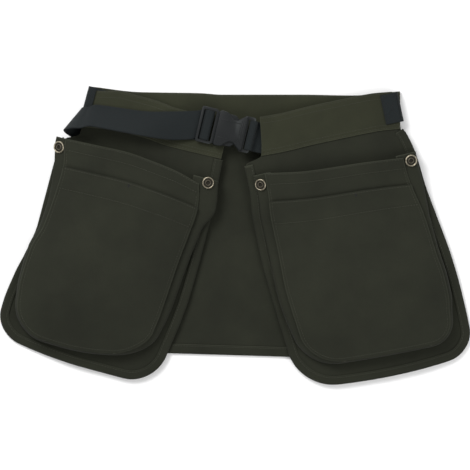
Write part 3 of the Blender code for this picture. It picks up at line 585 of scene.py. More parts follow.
def grain_of(grid):
    """Each point's way along its row and down its column, in metres."""
    grain = []
    for i, row in enumerate(grid):
        line, run = [], 0.0
        for j, point in enumerate(row):
            if j:
                run += (Vector(point) - Vector(row[j - 1])).length
            fall = 0.0
            if i:
                fall = grain[i - 1][j][1] + (Vector(point) - Vector(grid[i - 1][j])).length
            line.append((run, fall))
        grain.append(line)
    return grain


def sheet_mesh(name, grid, turned, dark_row=None):
    """A grid of points as a mesh with its grain in a UV map and its rim in an attribute."""
    width = len(grid[0])
    faces = []
    for i in range(len(grid) - 1):
        for j in range(width - 1):
            corner = i * width + j
            face = (corner, corner + width, corner + width + 1, corner + 1)
            faces.append(face[::-1] if turned else face)
    mesh = bpy.data.meshes.new(name)
    mesh.from_pydata([tuple(point) for row in grid for point in row], [], faces)
    grain = [way for row in grain_of(grid) for way in row]
    layer = mesh.uv_layers.new(name="grain")
    for loop in mesh.loops:
        layer.data[loop.index].uv = grain[loop.vertex_index]
    rim = mesh.attributes.new("rim", "FLOAT", "POINT")
    last = len(grid) - 1
    for i in range(len(grid)):
        for j in range(width):
            edge = i in (0, last) or j in (0, width - 1)
            # Each rim is marked for a painted highlight; the given row's edge is left without it.
            rim.data[i * width + j].value = 0.0 if i == dark_row else float(edge)
    return mesh


def placed(name, data):
    """A new object in the scene."""
    obj = bpy.data.objects.new(name, data)
    SCENE.collection.objects.link(obj)
    return obj


def cloth(node, grid, thickness, finish, slot="olive_canvas", rests=(), **looks):
    """A finished sheet of cloth that stands for a CAD node. The looks are whether its faces are
    turned, which side of the grid its ply lies on, and a row whose edge gets no painted highlight."""
    mesh = sheet_mesh(node + "_cloth", grid, looks.get("turned", False), looks.get("dark_row"))
    obj = placed(node + "_cloth", mesh)
    wall = obj.modifiers.new("wall", "SOLIDIFY")
    wall.thickness = thickness
    wall.offset = looks.get("offset", 1.0)
    applied(obj)
    obj.data.shade_smooth()
    dress(obj, node, finish)
    if rests:
        grain = grain_of(grid)
    return obj


def side_cloth(frame, piece, under, grid, thickness, finish, **looks):
    """A sheet of one side of the apron, laid on another piece of that side."""
    looks = {"turned": frame.turned, "rests": [f"{frame.side}_{under}_cloth"], **looks}
    return cloth(f"{frame.side}_{piece}", grid, thickness, finish, **looks)


# The back panel lies on the floor between its band and its hem.
def back_half(across_end):
    """Half the back panel's width on one side, at the waist and at the hem."""
    return {"waist": LOOP_WIDTH * 0.488, "hem": LOOP_WIDTH * 0.495}[across_end]


def waist_below(side, share):
    return BAND_HEIGHT * read(WAIST_EDGE[side], "along", "below", share)


def back_point(share, down, lift):
    """A point of the back panel, its share across and its distance below the waist edge."""
    half = back_half("waist") + (back_half("hem") - back_half("waist")) * down / BACK_DROP
    top = waist_below("back", share) * (1 - down / BACK_DROP)
    slant = HEM_SLANT * (share - 0.5) * down / BACK_DROP
    return Vector((LOOP_CENTRE_X + half * (2 * share - 1), WAIST_Y - top - down - slant, lift))


def back_level(down):
    """The back panel's underside: flat on the floor, and up in its band and its hem."""
    ply = BAND_PLY + PLY_GAP
    band = 1 - blend(BAND_HEIGHT, BAND_HEIGHT + HEM_RISE, down)
    hem = blend(BACK_DROP - BACK_HEM - HEM_RISE, BACK_DROP - BACK_HEM, down)
    return ply * max(band, hem)


def back_panel(finish):
    downs = [
        BAND_COVER,
        *spread(BAND_HEIGHT, BAND_HEIGHT + HEM_RISE, 4),
        BACK_DROP / 2,
        *spread(BACK_DROP - BACK_HEM - HEM_RISE, BACK_DROP - BACK_HEM, 4),
        BACK_DROP - BACK_HEM / 4,
    ]
    grid = []
    for down in finer(downs, 9):
        row = []
        for share in spread(0, 1, 121):
            point = back_point(share, down, back_level(down))
            slack = blend(BAND_HEIGHT, BAND_HEIGHT + HEM_RISE, down)
            slack *= 1 - blend(BACK_DROP - BACK_HEM - HEM_RISE, BACK_DROP - BACK_HEM, down)
            point.z += slack * BACK_SLACK * (1 + noise.noise(point / 0.05))
            row.append(point)
        grid.append(row)
    return cloth("back_panel", grid, CANVAS, finish, rests=["floor"])


def fold_profile(reach, half):
    """A strip folded round an edge: its inner face's (down, height) from the lower leg to the
    upper one, with the edge at 0 and the legs half a height to each side of the middle."""
    turn = [(half * (1 - math.sin(a)), -half * math.cos(a)) for a in spread(0, math.pi, 9)]
    near = [reach - step * MM for step in (0.0, 1.0, 2.0, 3.0, 5.0) if step * MM < reach / 2]
    legs = near + [reach * share for share in (0.75, 0.5, 0.25) if reach * share < near[-1]]
    return (
        [(down, -half) for down in legs]
        + [(down, height) for down, height in turn]
        + [(down, half) for down in reversed(legs)]
    )


def back_fold(node, reach, down_of, finish, **looks):
    """A strip folded round an edge of the back panel, where down_of places its section."""
    middle = BAND_PLY + PLY_GAP + CANVAS / 2
    profile = fold_profile(reach, PLY_GAP + (CANVAS + BAND_PLY) / 2)
    shares = spread(0, 1, 161)
    grid = [[back_point(s, down_of(d), middle + h) for s in shares] for d, h in profile]
    looks = {"offset": 0.0, "rests": ["back_panel_cloth"], **looks}
    return cloth(node, seamed(grid), BAND_PLY, finish, **looks)


def back_waistband(finish):
    looks = {"slot": "olive_band"}
    return back_fold("back_waistband", BAND_HEIGHT, lambda down: down + BAND_PLY, finish, **looks)


def back_hem(finish):
    return back_fold("back_hem", BACK_HEM, lambda down: BACK_DROP - down, finish, turned=True)


def panel_level(frame, across, down):
    """The underside of a front panel, over the back panel, beside it or up at its waistband."""
    x, y = frame.world(across, down)
    half = back_half("hem")
    beside = max(abs(x - LOOP_CENTRE_X) - half, WAIST_Y - BACK_DROP - y, 0.0)
    beside -= TAPE_WIDTH
    low = OVER_BACK + (ON_FLOOR - OVER_BACK) * blend(0, DRAPE, beside)
    up = 1 - blend(BAND_HEIGHT, BAND_HEIGHT + SHOULDER, down)
    lift = INNER_LIFT[frame.side] * blend(PANEL_WIDTH * 0.45, PANEL_WIDTH * 0.94, across)
    slack = PANEL_SLACK * (1 + noise.noise(Vector((across / 0.045, down / 0.07, frame.sign))))
    return low + (BAND_LEVEL + lift - low) * up + slack * (1 - up)


def edge_place(rows, foot, width, drop, down, column):
    """Where a panel's side lies at this drop, with its lower corner rounded."""
    side = width * read(rows, "down", column, down / PANEL_DROP)
    radius = width * foot[column]
    over = down - (drop - radius)
    if over <= 0:
        return side
    inset = radius - math.sqrt(max(0.0, radius * radius - over * over))
    return side + inset if column == "outer" else side - inset


def foot_rise(rows, foot, width, across, down):
    """How far a foot has risen from its lowest place, at this place across it."""
    at = down / PANEL_DROP
    outer, inner = (width * read(rows, "down", side, at) for side in ("outer", "inner"))
    share = min(1.0, max(0.0, (across - outer) / (inner - outer)))
    low = foot["low"]
    if share < low:
        return width * foot["up_out"] * (1 - share / low) ** 2
    return width * foot["up_in"] * ((share - low) / (1 - low)) ** 2


def panel_drop(frame):
    return PANEL_DROP * PANEL_FOOT[frame.side]["drop"]


def panel_place(frame, share, down):
    """(across, down) on a front panel: its share from the outer side, its distance down."""
    rows, foot, drop = PANEL_SIDES[frame.side], PANEL_FOOT[frame.side], panel_drop(frame)
    outer = edge_place(rows, foot, PANEL_WIDTH, drop, down, "outer")
    inner = edge_place(rows, foot, PANEL_WIDTH, drop, down, "inner")
    top = waist_below(frame.side, share) * (1 - down / drop)
    across = outer + (inner - outer) * share
    rise = foot_rise(rows, foot, PANEL_WIDTH, across, down) * (down / drop) ** 4
    return across, down + top - rise


def rounded_downs(start, drop, radius, count, corner=4):
    """Distances down a piece, evenly to its rounded corners and then closer and closer."""
    straight = spread(start, drop - radius, count)
    turn = [drop - radius * (1 - math.sin(a)) for a in spread(0, math.pi / 2, corner + 1)]
    return straight + turn[1:]


def panel_downs(frame):
    foot = PANEL_FOOT[frame.side]
    radius = PANEL_WIDTH * max(foot["outer"], foot["inner"])
    shoulder = spread(BAND_HEIGHT + SHOULDER * 0.07, BAND_HEIGHT + SHOULDER, 6)
    below = rounded_downs(shoulder[-1] + SHOULDER / 5, panel_drop(frame), radius, 4)
    band = [BAND_COVER, BAND_HEIGHT / 2 + BAND_PLY, BAND_HEIGHT + BAND_PLY]
    return [*band, *shoulder, *below]


def front_panel(frame, finish):
    grid = []
    for down in finer(panel_downs(frame), 7):
        spots = [panel_place(frame, share, down) for share in finer(PANEL_COLUMNS, 8)]
        grid.append([frame.local(*spot, panel_level(frame, *spot)) for spot in spots])
    looks = {"turned": frame.turned, "rests": ["back_panel_cloth"]}
    return cloth(frame.side + "_front_panel", grid, CANVAS, finish, **looks)


def seamed(grid):
    """A folded strip with a seam drawn in along the free edge of its upper leg."""
    legs = [i for i in range(len(grid)) if i > len(grid) / 2]
    edge = grid[-1]
    for i in legs:
        run = 0.0
        for j, point in enumerate(grid[i]):
            run += (point - grid[i][j - 1]).length if j else 0.0
            away = (Vector(point[:2]) - Vector(edge[j][:2])).length - EDGE_SEAM
            point.z -= SEAM_DRAW * groove(away, SEAM_GROOVE)
            point.z += SEAM_PUCKER * (1 + pucker(run, away, BAND_WAVE_REACH))
    return grid


def front_waistband(frame, finish):
    """The band folded over a front panel's waist edge."""
    profile = fold_profile(BAND_HEIGHT, PLY_GAP + (CANVAS + BAND_PLY) / 2)
    grid = []
    for down, height in profile:
        row = []
        for share in finer(PANEL_COLUMNS, 14):
            across, low = panel_place(frame, share, max(0.0, down + BAND_PLY))
            low += min(0.0, down + BAND_PLY)
            level = panel_level(frame, across, min(low, BAND_HEIGHT)) + CANVAS / 2
            row.append(frame.local(across, low, level + height))
        grid.append(row)
    looks = {"offset": 0.0, "slot": "olive_band"}
    return side_cloth(frame, "waistband", "front_panel", seamed(grid), BAND_PLY, finish, **looks)


def outline_run(points):
    """Points along an open outline with the direction that faces out of it at each."""
    run = []
    for i, point in enumerate(points):
        ahead = points[min(i + 1, len(points) - 1)] - points[max(i - 1, 0)]
        ahead.normalize()
        run.append((point, Vector((-ahead.y, ahead.x))))
    return run


def panel_run(frame):
    """Down a panel's outer side, along its foot and up its inner side, as far as it is bound."""
    sides = {}
    for end, share in (("outer", 0.0), ("inner", 1.0)):
        start = PANEL_DROP * TAPE_START[frame.side][end]
        downs = [start, *[d for d in panel_downs(frame) if d > start + TAPE_WIDTH / 4]]
        sides[end] = [Vector(panel_place(frame, share, d)) for d in finer(downs, 7)]
    shares = finer(PANEL_COLUMNS, 5)[1:-1]
    foot = [Vector(panel_place(frame, share, panel_drop(frame))) for share in shares]
    return outline_run(sides["outer"] + foot + sides["inner"][::-1])


def edge_binding(frame, finish):
    """Tape folded round a front panel's sides and foot."""
    half = TAPE_GAP + (CANVAS + TAPE_PLY) / 2
    profile = [
        (-TAPE_WIDTH, -half),
        (-half, -half),
        (half * 0.5, 0.0),
        (-half, half),
        (-TAPE_WIDTH * 0.6, half),
        (-TAPE_WIDTH, half),
    ]
    grid = []
    run = 0.0
    before = None
    for point, out in panel_run(frame):
        run += (point - before).length if before else 0.0
        before = point
        row = []
        for reach, height in rounded(profile, 4):
            spot = point + out * (reach + half)
            seen = point + out * min(reach, -CANVAS)
            level = panel_level(frame, seen.x, seen.y) + CANVAS / 2
            wave = 0.0
            if height > 0:
                wave = SEAM_PUCKER * pucker(run, reach + TAPE_WIDTH - HEM_STEP, TAPE_WAVE_REACH)
            row.append(frame.local(spot.x, spot.y, level + height + wave))
        grid.append(row)
    looks = {"turned": not frame.turned, "offset": 0.0}
    return side_cloth(frame, "edge_binding", "front_panel", grid, TAPE_PLY, finish, **looks)


# A bellows pocket: a face, a slot pocket laid on it, and the gusset that carries them.
def mouth_down(frame, share):
    return PANEL_DROP * read(POCKET_MOUTH[frame.side], "across", "down", share)


def pocket_place(frame, share, row):
    """(across, down) on a pocket's face. Row 0 is the mouth, 1 the slot and 2 the foot."""
    rows, foot = POCKET_SIDES[frame.side], POCKET_FOOT[frame.side]
    drop = PANEL_DROP * foot["drop"]
    top = mouth_down(frame, share)
    slot = top + SLOT_DROP * read(POCKET_MOUTH[frame.side], "across", "slot", share)
    down = top + (slot - top) * row if row < 1 else slot + (drop - slot) * (row - 1)
    outer = edge_place(rows, foot, POCKET_WIDTH, drop, down, "outer")
    inner = edge_place(rows, foot, POCKET_WIDTH, drop, down, "inner")
    across = outer + (inner - outer) * share
    rise = foot_rise(rows, foot, POCKET_WIDTH, across, down) * max(0.0, row - 1) ** 4
    return across, down - rise


def valley(frame, share, fall):
    """How deep the soft valleys are at this place of the face, from 0 to 1 of the crown."""
    depth = 0.0
    for row in VALLEYS[frame.side]:
        start = Vector((row["across"], row["down"]))
        line = Vector((row["to_across"], row["to_down"])) - start
        spot = Vector((share, fall)) - start
        along = min(1.0, max(0.0, spot.dot(line) / line.length_squared))
        away = (spot - line * along).length / row["half"]
        depth += row["depth"] * max(0.0, 1 - away * away) ** 2
    return depth


def pocket_slack(frame, across, down):
    """The slack cloth's unevenness, alike in all plies of one pocket."""
    wide = noise.noise(Vector((across / 0.060, down / 0.050, 3 * frame.sign)))
    small = noise.noise(Vector((across / 0.016, down / 0.030, 5 + frame.sign)))
    return POCKET_SLACK * (wide + 0.3 * small)


def face_rise(frame, share, row):
    """The height of a pocket face's underside over the panel's outside."""
    fall = 0.15 * row if row < 1 else 0.15 + 0.85 * (row - 1)
    seam = SEAM_HEIGHT * read(BELLOWS[frame.side], "down", "seam", fall)
    crown = CROWN * read(BELLOWS[frame.side], "down", "crown", fall)
    round_top = 1 - abs(2 * share - 1) ** 2.6
    spot = pocket_place(frame, share, row)
    crown *= round_top * (1 - valley(frame, share, fall))
    return seam + crown + pocket_slack(frame, *spot)


def face_point(frame, share, row):
    across, down = pocket_place(frame, share, row)
    level = panel_level(frame, across, down) + CANVAS
    return frame.local(across, down, level + face_rise(frame, share, row))


def lifted(frame, share, row, lift):
    """A point this far above the pocket face's underside, square to it."""
    step = 0.01
    low_s, high_s = max(0.0, share - step), min(1.0, share + step)
    low_r, high_r = max(0.0, row - step), min(2.0, row + step)
    across = face_point(frame, high_s, row) - face_point(frame, low_s, row)
    down = face_point(frame, share, high_r) - face_point(frame, share, low_r)
    up = down.cross(across).normalized()
    up = -up if up.z < 0 else up
    return face_point(frame, share, row) + up * lift


def pocket_rows(frame):
    foot = POCKET_FOOT[frame.side]
    slot = mouth_down(frame, 0.5) + SLOT_DROP
    drop = PANEL_DROP * foot["drop"]
    radius = POCKET_WIDTH * max(foot["outer"], foot["inner"])
    downs = rounded_downs(slot, drop, radius, 8)
    return [1 + (down - slot) / (drop - slot) for down in downs]


def fine_columns():
    columns = finer(POCKET_COLUMNS, 8)
    for share in (FACE_SEAM / POCKET_WIDTH, 1 - FACE_SEAM / POCKET_WIDTH):
        columns = with_line(columns, share, SEAM_STEP / POCKET_WIDTH)
    return columns


def side_draw(share, row):
    """How far the side seams draw a face in, with the waves beside them."""
    away = min(share, 1 - share) * POCKET_WIDTH - FACE_SEAM
    along = row * SLOT_DROP * 3
    wave = SEAM_PUCKER * pucker(along, away, WAVE_REACH)
    return wave - SEAM_DRAW * groove(away, SEAM_GROOVE)


def pocket_face(frame, finish):
    hem = FACE_HEM / SLOT_DROP
    mouth = with_line(finer([0, 0.3, 0.65, 1.0], 7), hem, SEAM_STEP / SLOT_DROP)
    rows = mouth[:-1] + finer(pocket_rows(frame), 6)
    grid = []
    for row in rows:
        line = []
        for share in fine_columns():
            away = (row - hem) * SLOT_DROP
            lift = side_draw(share, row) - SEAM_DRAW * groove(away, SEAM_GROOVE)
            lift += HEM_PLY * (1 - blend(0, HEM_STEP, away))
            lift += SEAM_PUCKER * pucker(share * POCKET_WIDTH, away, WAVE_REACH)
            lift *= 1 - blend(0.75, 0.95, row)
            inside = blend(0.0, 0.05, min(share, 1 - share))
            lift -= SLOT_DIP * groove((row - DIP_ROW) * SLOT_DROP, DIP_WIDTH) * inside
            line.append(lifted(frame, share, row, lift))
        grid.append(line)
    return side_cloth(frame, "pocket_face", "pocket_gusset", grid, CANVAS, finish)


def slot_fall(frame):
    """How far a slot pocket falls down its middle."""
    return PANEL_DROP * POCKET_FOOT[frame.side]["drop"] - mouth_down(frame, 0.5) - SLOT_DROP


def slot_pocket(frame, finish):
    fall = slot_fall(frame)
    hem = 1 + SLOT_HEM / fall
    rows = with_line(finer(pocket_rows(frame), 9), hem, SEAM_STEP / fall)
    grid = []
    for row in rows:
        line = []
        for share in fine_columns():
            away = (row - hem) * fall
            wave = pucker(share * POCKET_WIDTH, away, WAVE_REACH)
            lift = CANVAS + PLY_GAP + SEAM_DRAW + SEAM_PUCKER + side_draw(share, row * 2)
            lift += HEM_PLY * (1 - blend(0, HEM_STEP, away)) + SEAM_PUCKER * wave
            lift -= SEAM_DRAW * groove(away, SEAM_GROOVE)
            line.append(lifted(frame, share, row, lift))
        grid.append(line)
    # The slot pocket's top edge, row 0, gets no painted highlight.
    return side_cloth(frame, "slot_pocket", "pocket_face", grid, CANVAS, finish, dark_row=0)


def seat_level(frame, across, down):
    """The outside of a front panel, and of its binding where this place lies on it."""
    rows = PANEL_SIDES[frame.side]
    share = down / PANEL_DROP
    outer = across - PANEL_WIDTH * read(rows, "down", "outer", share)
    inner = PANEL_WIDTH * read(rows, "down", "inner", share) - across
    rise = foot_rise(rows, PANEL_FOOT[frame.side], PANEL_WIDTH, across, down)
    inside = min(outer, inner, panel_drop(frame) - rise - down)
    tape = 1 - blend(1.2 * TAPE_WIDTH, 1.8 * TAPE_WIDTH, inside)
    return panel_level(frame, across, down) + CANVAS + (TAPE_GAP + TAPE_PLY + SEAT_GAP) * tape


def gusset_profile(reach, high, lean):
    """The gusset's section from under the face's edge, out to its crease and back in over the
    panel: (out from the edge, height over its lower leg)."""
    return [
        (-FLANGE, high),
        (-FLANGE / 8, high),
        ((0.80 - 0.15 * lean) * reach, (0.92 - 0.44 * lean) * high),
        (reach, (0.45 - 0.25 * lean) * high),
        (0.72 * reach, 0.06 * high),
        (-FLANGE / 8, 0.0),
        (-FLANGE, 0.0),
    ]


def gusset_rows(frame, end):
    top = -GUSSET_TOPS[frame.side][end]
    return finer([*spread(top, 0.72, 4), *pocket_rows(frame)], 5)


def gusset_run(frame):
    """Places round the pocket's seam, the way out of each, the face's rise there and the share
    of the run."""
    spots = [(0.0, row) for row in gusset_rows(frame, "outer")]
    spots += [(share, 2.0) for share in spread(0, 1, 41)[1:-1]]
    spots += [(1.0, row) for row in gusset_rows(frame, "inner")[::-1]]
    places = [Vector(pocket_place(frame, *spot)) for spot in spots]
    rises = [face_rise(frame, *spot) for spot in spots]
    lengths = [0.0]
    for a, b in zip(places, places[1:]):
        lengths.append(lengths[-1] + (b - a).length)
    steps = zip(outline_run(places), rises, lengths)
    return [(spot, out, rise, length / lengths[-1]) for (spot, out), rise, length in steps]


def gusset_section(frame, point, out, rise, along):
    """The gusset's section across the seam at one place of its run."""
    rows = GUSSET_RUN[frame.side]
    reach = CREASE * read(rows, "along", "reach", along)
    lean = read(rows, "along", "lean", along)
    low = PLY_GAP + GUSSET_PLY / 2
    high = rise - 2 * low
    edge = panel_level(frame, point.x, point.y) + CANVAS
    section = []
    for away, height in rounded(gusset_profile(reach, high, lean), GUSSET_STEPS):
        spot = point + out * away
        seat = seat_level(frame, spot.x, spot.y)
        section.append(
            frame.local(spot.x, spot.y, seat + (edge - seat) * height / high + low + height)
        )
    return section


def gusset(frame, finish):
    grid = [gusset_section(frame, *step) for step in gusset_run(frame)]
    return side_cloth(frame, "pocket_gusset", "front_panel", grid, GUSSET_PLY, finish, offset=0.0)


def leg_at(frame, end, row):
    """The gusset's section where its seam passes this row of the pocket."""
    share = 0.0 if end == "outer" else 1.0
    top = -GUSSET_TOPS[frame.side][end]
    point = Vector(pocket_place(frame, share, row))
    ahead = Vector(pocket_place(frame, share, row + 0.1)) - point
    ahead = ahead.normalized() if end == "outer" else -ahead.normalized()
    out = Vector((-ahead.y, ahead.x))
    spots = [step[0] for step in gusset_run(frame)]
    length = sum((b - a).length for a, b in zip(spots, spots[1:]))
    along = SLOT_DROP * (row - top) / length
    along = along if end == "outer" else 1 - along
    section = gusset_section(frame, point, out, face_rise(frame, share, row), along)
    return section[::GUSSET_STEPS]


def stud(frame, end, finish):
    """A ring stud: a rolled rim, a sunk collar and a dark socket with its own small lip."""
    row, away = STUD_PLACES[frame.side][end]
    here, below = leg_at(frame, end, row), leg_at(frame, end, row + 0.1)
    leg = (here[2] - here[1]).normalized()
    up = (below[1] - here[1]).cross(leg).normalized()
    up = -up if up.z < 0 else up
    corners = [(at["across"] * STUD_RADIUS, at["up"] * STUD_HEIGHT) for at in STUD_SECTION]
    section = rounded(corners, 3)
    mesh = bpy.data.meshes.new("stud_turning")
    edges = [(i, i + 1) for i in range(len(section) - 1)]
    mesh.from_pydata([(max(0.0, x), 0, z) for x, z in section], edges, [])
    node = f"{frame.side}_{end}_stud"
    obj = placed(node + "_ring", mesh)
    turn = obj.modifiers.new("turn", "SCREW")
    turn.steps = turn.render_steps = 64
    turn.use_merge_vertices = True
    turn.merge_threshold = 0.00001
    applied(obj)
    sunk = obj.data.attributes.new("sunk", "FLOAT", "POINT")
    for point, value in zip(obj.data.vertices, sunk.data):
        away_share = math.hypot(point.co.x, point.co.y) / STUD_RADIUS
        high = point.co.z / STUD_HEIGHT
        socket = 1 - blend(0.28, 0.34, away_share)
        collar = (1 - blend(0.55, 0.85, high)) * (1 - blend(0.76, 0.84, away_share))
        lip = 0.72 * (1 - blend(0.54, 0.64, away_share))
        value.value = max(socket, collar, lip)
    place = here[1] + leg * STUD_RADIUS * away + up * (GUSSET_PLY / 2 + 2 * SEAT_GAP)
    turned = up.to_track_quat("Z", "Y").to_matrix().to_4x4()
    obj.data.transform(Matrix.Translation(place) @ turned)
    obj.data.shade_smooth()
    return dress(obj, node, finish)


def webbing(node, grid, finish, turned):
    """A woven strap as a sheet with the webbing's own thickness."""
    looks = {"turned": turned, "offset": 0.0, "slot": "black_webbing"}
    return cloth(node, grid, WEBBING, finish, **looks)


def side_strap(frame, finish):
    low = BACK_TOP + SEAT_GAP + WEBBING / 2
    high = STRAP_LEVEL + WEBBING / 2
    radius = (high - low) / 2
    fold = PANEL_WIDTH * STRAP_FOLD[frame.side] + WEBBING / 2 + radius
    path = [(fold + STRAP_SEWN, low), (fold + STRAP_SEWN / 2, low)]
    for turn in spread(0, math.pi, 9):
        path.append((fold - radius * math.sin(turn), low + radius * (1 - math.cos(turn))))
    path.append((PANEL_WIDTH * STRAP_END[frame.side], high))
    top = WEBBING_WIDTH * STRAP_TOP[frame.side]
    downs = spread(top, top + WEBBING_WIDTH, 25)
    grid = []
    for across, height in rounded(path, 4):
        grid.append([frame.local(across, down, height) for down in downs])
    return webbing(frame.side + "_side_strap", grid, finish, frame.turned)


# The belt, its buckle and the tab that holds the buckle to the right waistband.
def belt_run(left):
    """How far the belt runs from the side fold, so that the buckle ends by the right waistband."""
    right = Frame("right", left.start.x + LOOP_WIDTH, RIGHT_TILT, -1)
    inner = PANEL_WIDTH * read(PANEL_SIDES["right"], "down", "inner", BAND_HEIGHT / 2 / PANEL_DROP)
    across, _ = left.inside(right.world(inner, BAND_HEIGHT / 2))
    return across - BUCKLE_LENGTH * math.cos(BUCKLE_SKEW) - BUCKLE_TO_BAND


def buckle_spot(frame, along, across):
    """(across, down) in the left frame of a place in the buckle's own frame."""
    ahead = Vector((math.cos(BUCKLE_SKEW), -math.sin(BUCKLE_SKEW)))
    side = Vector((math.sin(BUCKLE_SKEW), math.cos(BUCKLE_SKEW)))
    return Vector((belt_run(frame), BUCKLE_DROP)) + ahead * along + side * across


def belt(frame, finish):
    """The belt from its end by the back band round the side fold, over the front band and into
    the buckle."""
    width, run = WEBBING_WIDTH, belt_run(frame)
    first = BELT_ROWS[0]
    roll = math.radians(first["roll"])
    top_drop = width * first["drop"]
    top_turn = (BELT_MIDDLE - RETURN_LEVEL) / 2
    low_turn = top_turn + width * math.sin(roll) / 2
    top_across = PANEL_WIDTH * STRAP_FOLD["left"] - SEAT_GAP - WEBBING / 2 + top_turn
    low_across = low_turn - WEBBING_WIDTH * BELT_FLARE
    skew = width * BELT_SKEW
    edges = [
        (
            Vector((top_across + BELT_RETURN / 4, top_drop + skew, RETURN_LEVEL)),
            Vector((low_across + BELT_RETURN, top_drop + skew + width, RETURN_LEVEL)),
        )
    ]
    for turn in spread(0, math.pi, 10):
        share = turn / math.pi
        drop = top_drop + skew * (1 - share)
        low_drop = drop + width * (1 + (math.cos(roll) - 1) * share)
        rise, reach = 1 - math.cos(turn), math.sin(turn)
        top = Vector((top_across - top_turn * reach, drop, RETURN_LEVEL + top_turn * rise))
        low = Vector((low_across - low_turn * reach, low_drop, RETURN_LEVEL + low_turn * rise))
        edges.append((top, low))
    for share in spread(0.09, 0.97, 10):
        drop = width * read(BELT_ROWS, "along", "drop", share)
        roll = math.radians(read(BELT_ROWS, "along", "roll", share))
        top = Vector((run * share, drop, BELT_MIDDLE))
        edges.append((top, top + Vector((0, width * math.cos(roll), width * math.sin(roll)))))
    over = FRAME_LEVEL + FRAME_THICK + RUN_CLEARANCE + WEBBING / 2
    under = BELT_LEVEL - SEAT_GAP - WEBBING / 2
    slot_1, slot_2 = RAIL + SLOT_WIDTH / 2, RAIL + SLOT_WIDTH * 1.5 + BAR_WIDTH
    bar = RAIL + SLOT_WIDTH
    threading = [
        (RAIL / 2, BELT_MIDDLE),
        (slot_1 - WEBBING, BELT_MIDDLE + WEBBING / 4),
        (slot_1 + WEBBING / 4, BUCKLE_MIDDLE),
        (bar - WEBBING / 3, over - WEBBING / 3),
        (bar + BAR_WIDTH / 4, over),
        (bar + BAR_WIDTH * 0.75, over),
        (bar + BAR_WIDTH + WEBBING / 3, over - WEBBING / 3),
        (slot_2 - WEBBING / 4, BUCKLE_MIDDLE),
        (slot_2 - WEBBING / 3, BELT_MIDDLE),
        (slot_2 - WEBBING * 1.2, under + WEBBING / 4),
        (bar, under),
    ]
    for along, level in threading:
        spots = [buckle_spot(frame, along, side * width / 2) for side in (-1, 1)]
        edges.append(tuple(Vector((spot.x, spot.y, level)) for spot in spots))
    tail = width * read(BELT_ROWS, "along", "drop", 1 - BELT_TAIL / run)
    edges.append(tuple(Vector((run - BELT_TAIL, drop, under)) for drop in (tail, tail + width)))
    grid = []
    for line in rounded([(*top, *low) for top, low in edges], 5):
        top, low = Vector(line[:3]), Vector(line[3:])
        grid.append([frame.local(*top.lerp(low, share)) for share in spread(0, 1, 25)])
    return webbing("belt_webbing", grid, finish, False)


def buckle_tab(left, right, finish):
    """Webbing from under the right waistband, up through the buckle's end slot and back."""
    half = BUCKLE_LENGTH - END_BAR / 2
    over = BUCKLE_MIDDLE + END_THICK / 2 + RUN_CLEARANCE + WEBBING / 2
    slot = BUCKLE_LENGTH - END_BAR - TAB_SLOT / 2
    end = BUCKLE_LENGTH + RUN_CLEARANCE + WEBBING
    ends = [BUCKLE_LENGTH + TAB_LENGTH * share for share in (1.0, 0.6, 0.3)]

    def under_band(along, side, ply):
        """The level of one of the tab's two plies under the band, the upper one 0."""
        spot = buckle_spot(left, along, WEBBING_WIDTH * side)
        across, down = right.inside(left.world(spot.x, spot.y))
        band = panel_level(right, across, min(down, BAND_HEIGHT)) - PLY_GAP - BAND_PLY
        return band - 2 * SEAT_GAP - WEBBING / 2 - ply * (WEBBING + SEAT_GAP)

    columns = []
    for side in spread(-0.5, 0.5, 25):
        upper = under_band(ends[2], side, 0)
        lower = under_band(ends[2], side, 1)
        path = [(along, under_band(along, side, 1)) for along in ends]
        path += [
            (end, lower + WEBBING / 4),
            (half, lower + WEBBING),
            (slot + WEBBING, BUCKLE_MIDDLE - END_THICK / 2 - WEBBING),
            (slot, BUCKLE_MIDDLE - WEBBING),
            (slot, BUCKLE_MIDDLE + WEBBING),
            (slot + WEBBING, over - WEBBING / 3),
            (half - WEBBING / 2, over),
            (half + WEBBING / 2, over),
            (end - WEBBING / 3, over - WEBBING / 2),
            (end + WEBBING / 4, BUCKLE_MIDDLE),
            (end + WEBBING / 2, upper + WEBBING * 2),
            (end + WEBBING * 1.6, upper + WEBBING / 3),
        ]
        path += [(along, under_band(along, side, 0)) for along in reversed(ends)]
        path = rounded(path, 4)
        spots = [buckle_spot(left, along, WEBBING_WIDTH * side) for along, _ in path]
        columns.append([left.local(*spot, level) for spot, (_, level) in zip(spots, path)])
    grid = [list(row) for row in zip(*columns)]
    return webbing("buckle_tab", grid, finish, False)


# The hard pieces start from their solids, with soft edges and small raised details.
def soften(obj, radius, degrees):
    """Rounds the edges that turn by more than this."""
    bevel = obj.modifiers.new("soft_edges", "BEVEL")
    bevel.width = radius
    bevel.segments = 3
    bevel.limit_method = "ANGLE"
    bevel.angle_limit = math.radians(degrees)
    bevel.harden_normals = False
    return applied(obj)


def moulded(node, name, radius, finish):
    """A copy of a plastic node with its faces joined up and its edges rounded."""
    obj = NODES[node].copy()
    obj.data = NODES[node].data.copy()
    obj.name = name
    SCENE.collection.objects.link(obj)
    shape = bmesh.new()
    shape.from_mesh(obj.data)
    bmesh.ops.remove_doubles(shape, verts=shape.verts, dist=0.00002)
    flat = math.radians(2)
    bmesh.ops.dissolve_limit(shape, angle_limit=flat, verts=shape.verts, edges=shape.edges)
    shape.to_mesh(obj.data)
    shape.free()
    soften(obj, radius, 25)
    bpy.ops.object.shade_smooth_by_angle(angle=math.radians(35))
    return dress(obj, node, finish)


def buckle_matrix(left):
    """From the buckle's own frame, along its axis and across it, to the world."""
    start = left.world(*buckle_spot(left, 0, 0))
    ahead = (left.world(*buckle_spot(left, 1, 0)) - start).normalized()
    turned = Matrix.Rotation(math.atan2(ahead.y, ahead.x), 4, "Z")
    return Matrix.Translation((start.x, start.y, BUCKLE_MIDDLE)) @ turned


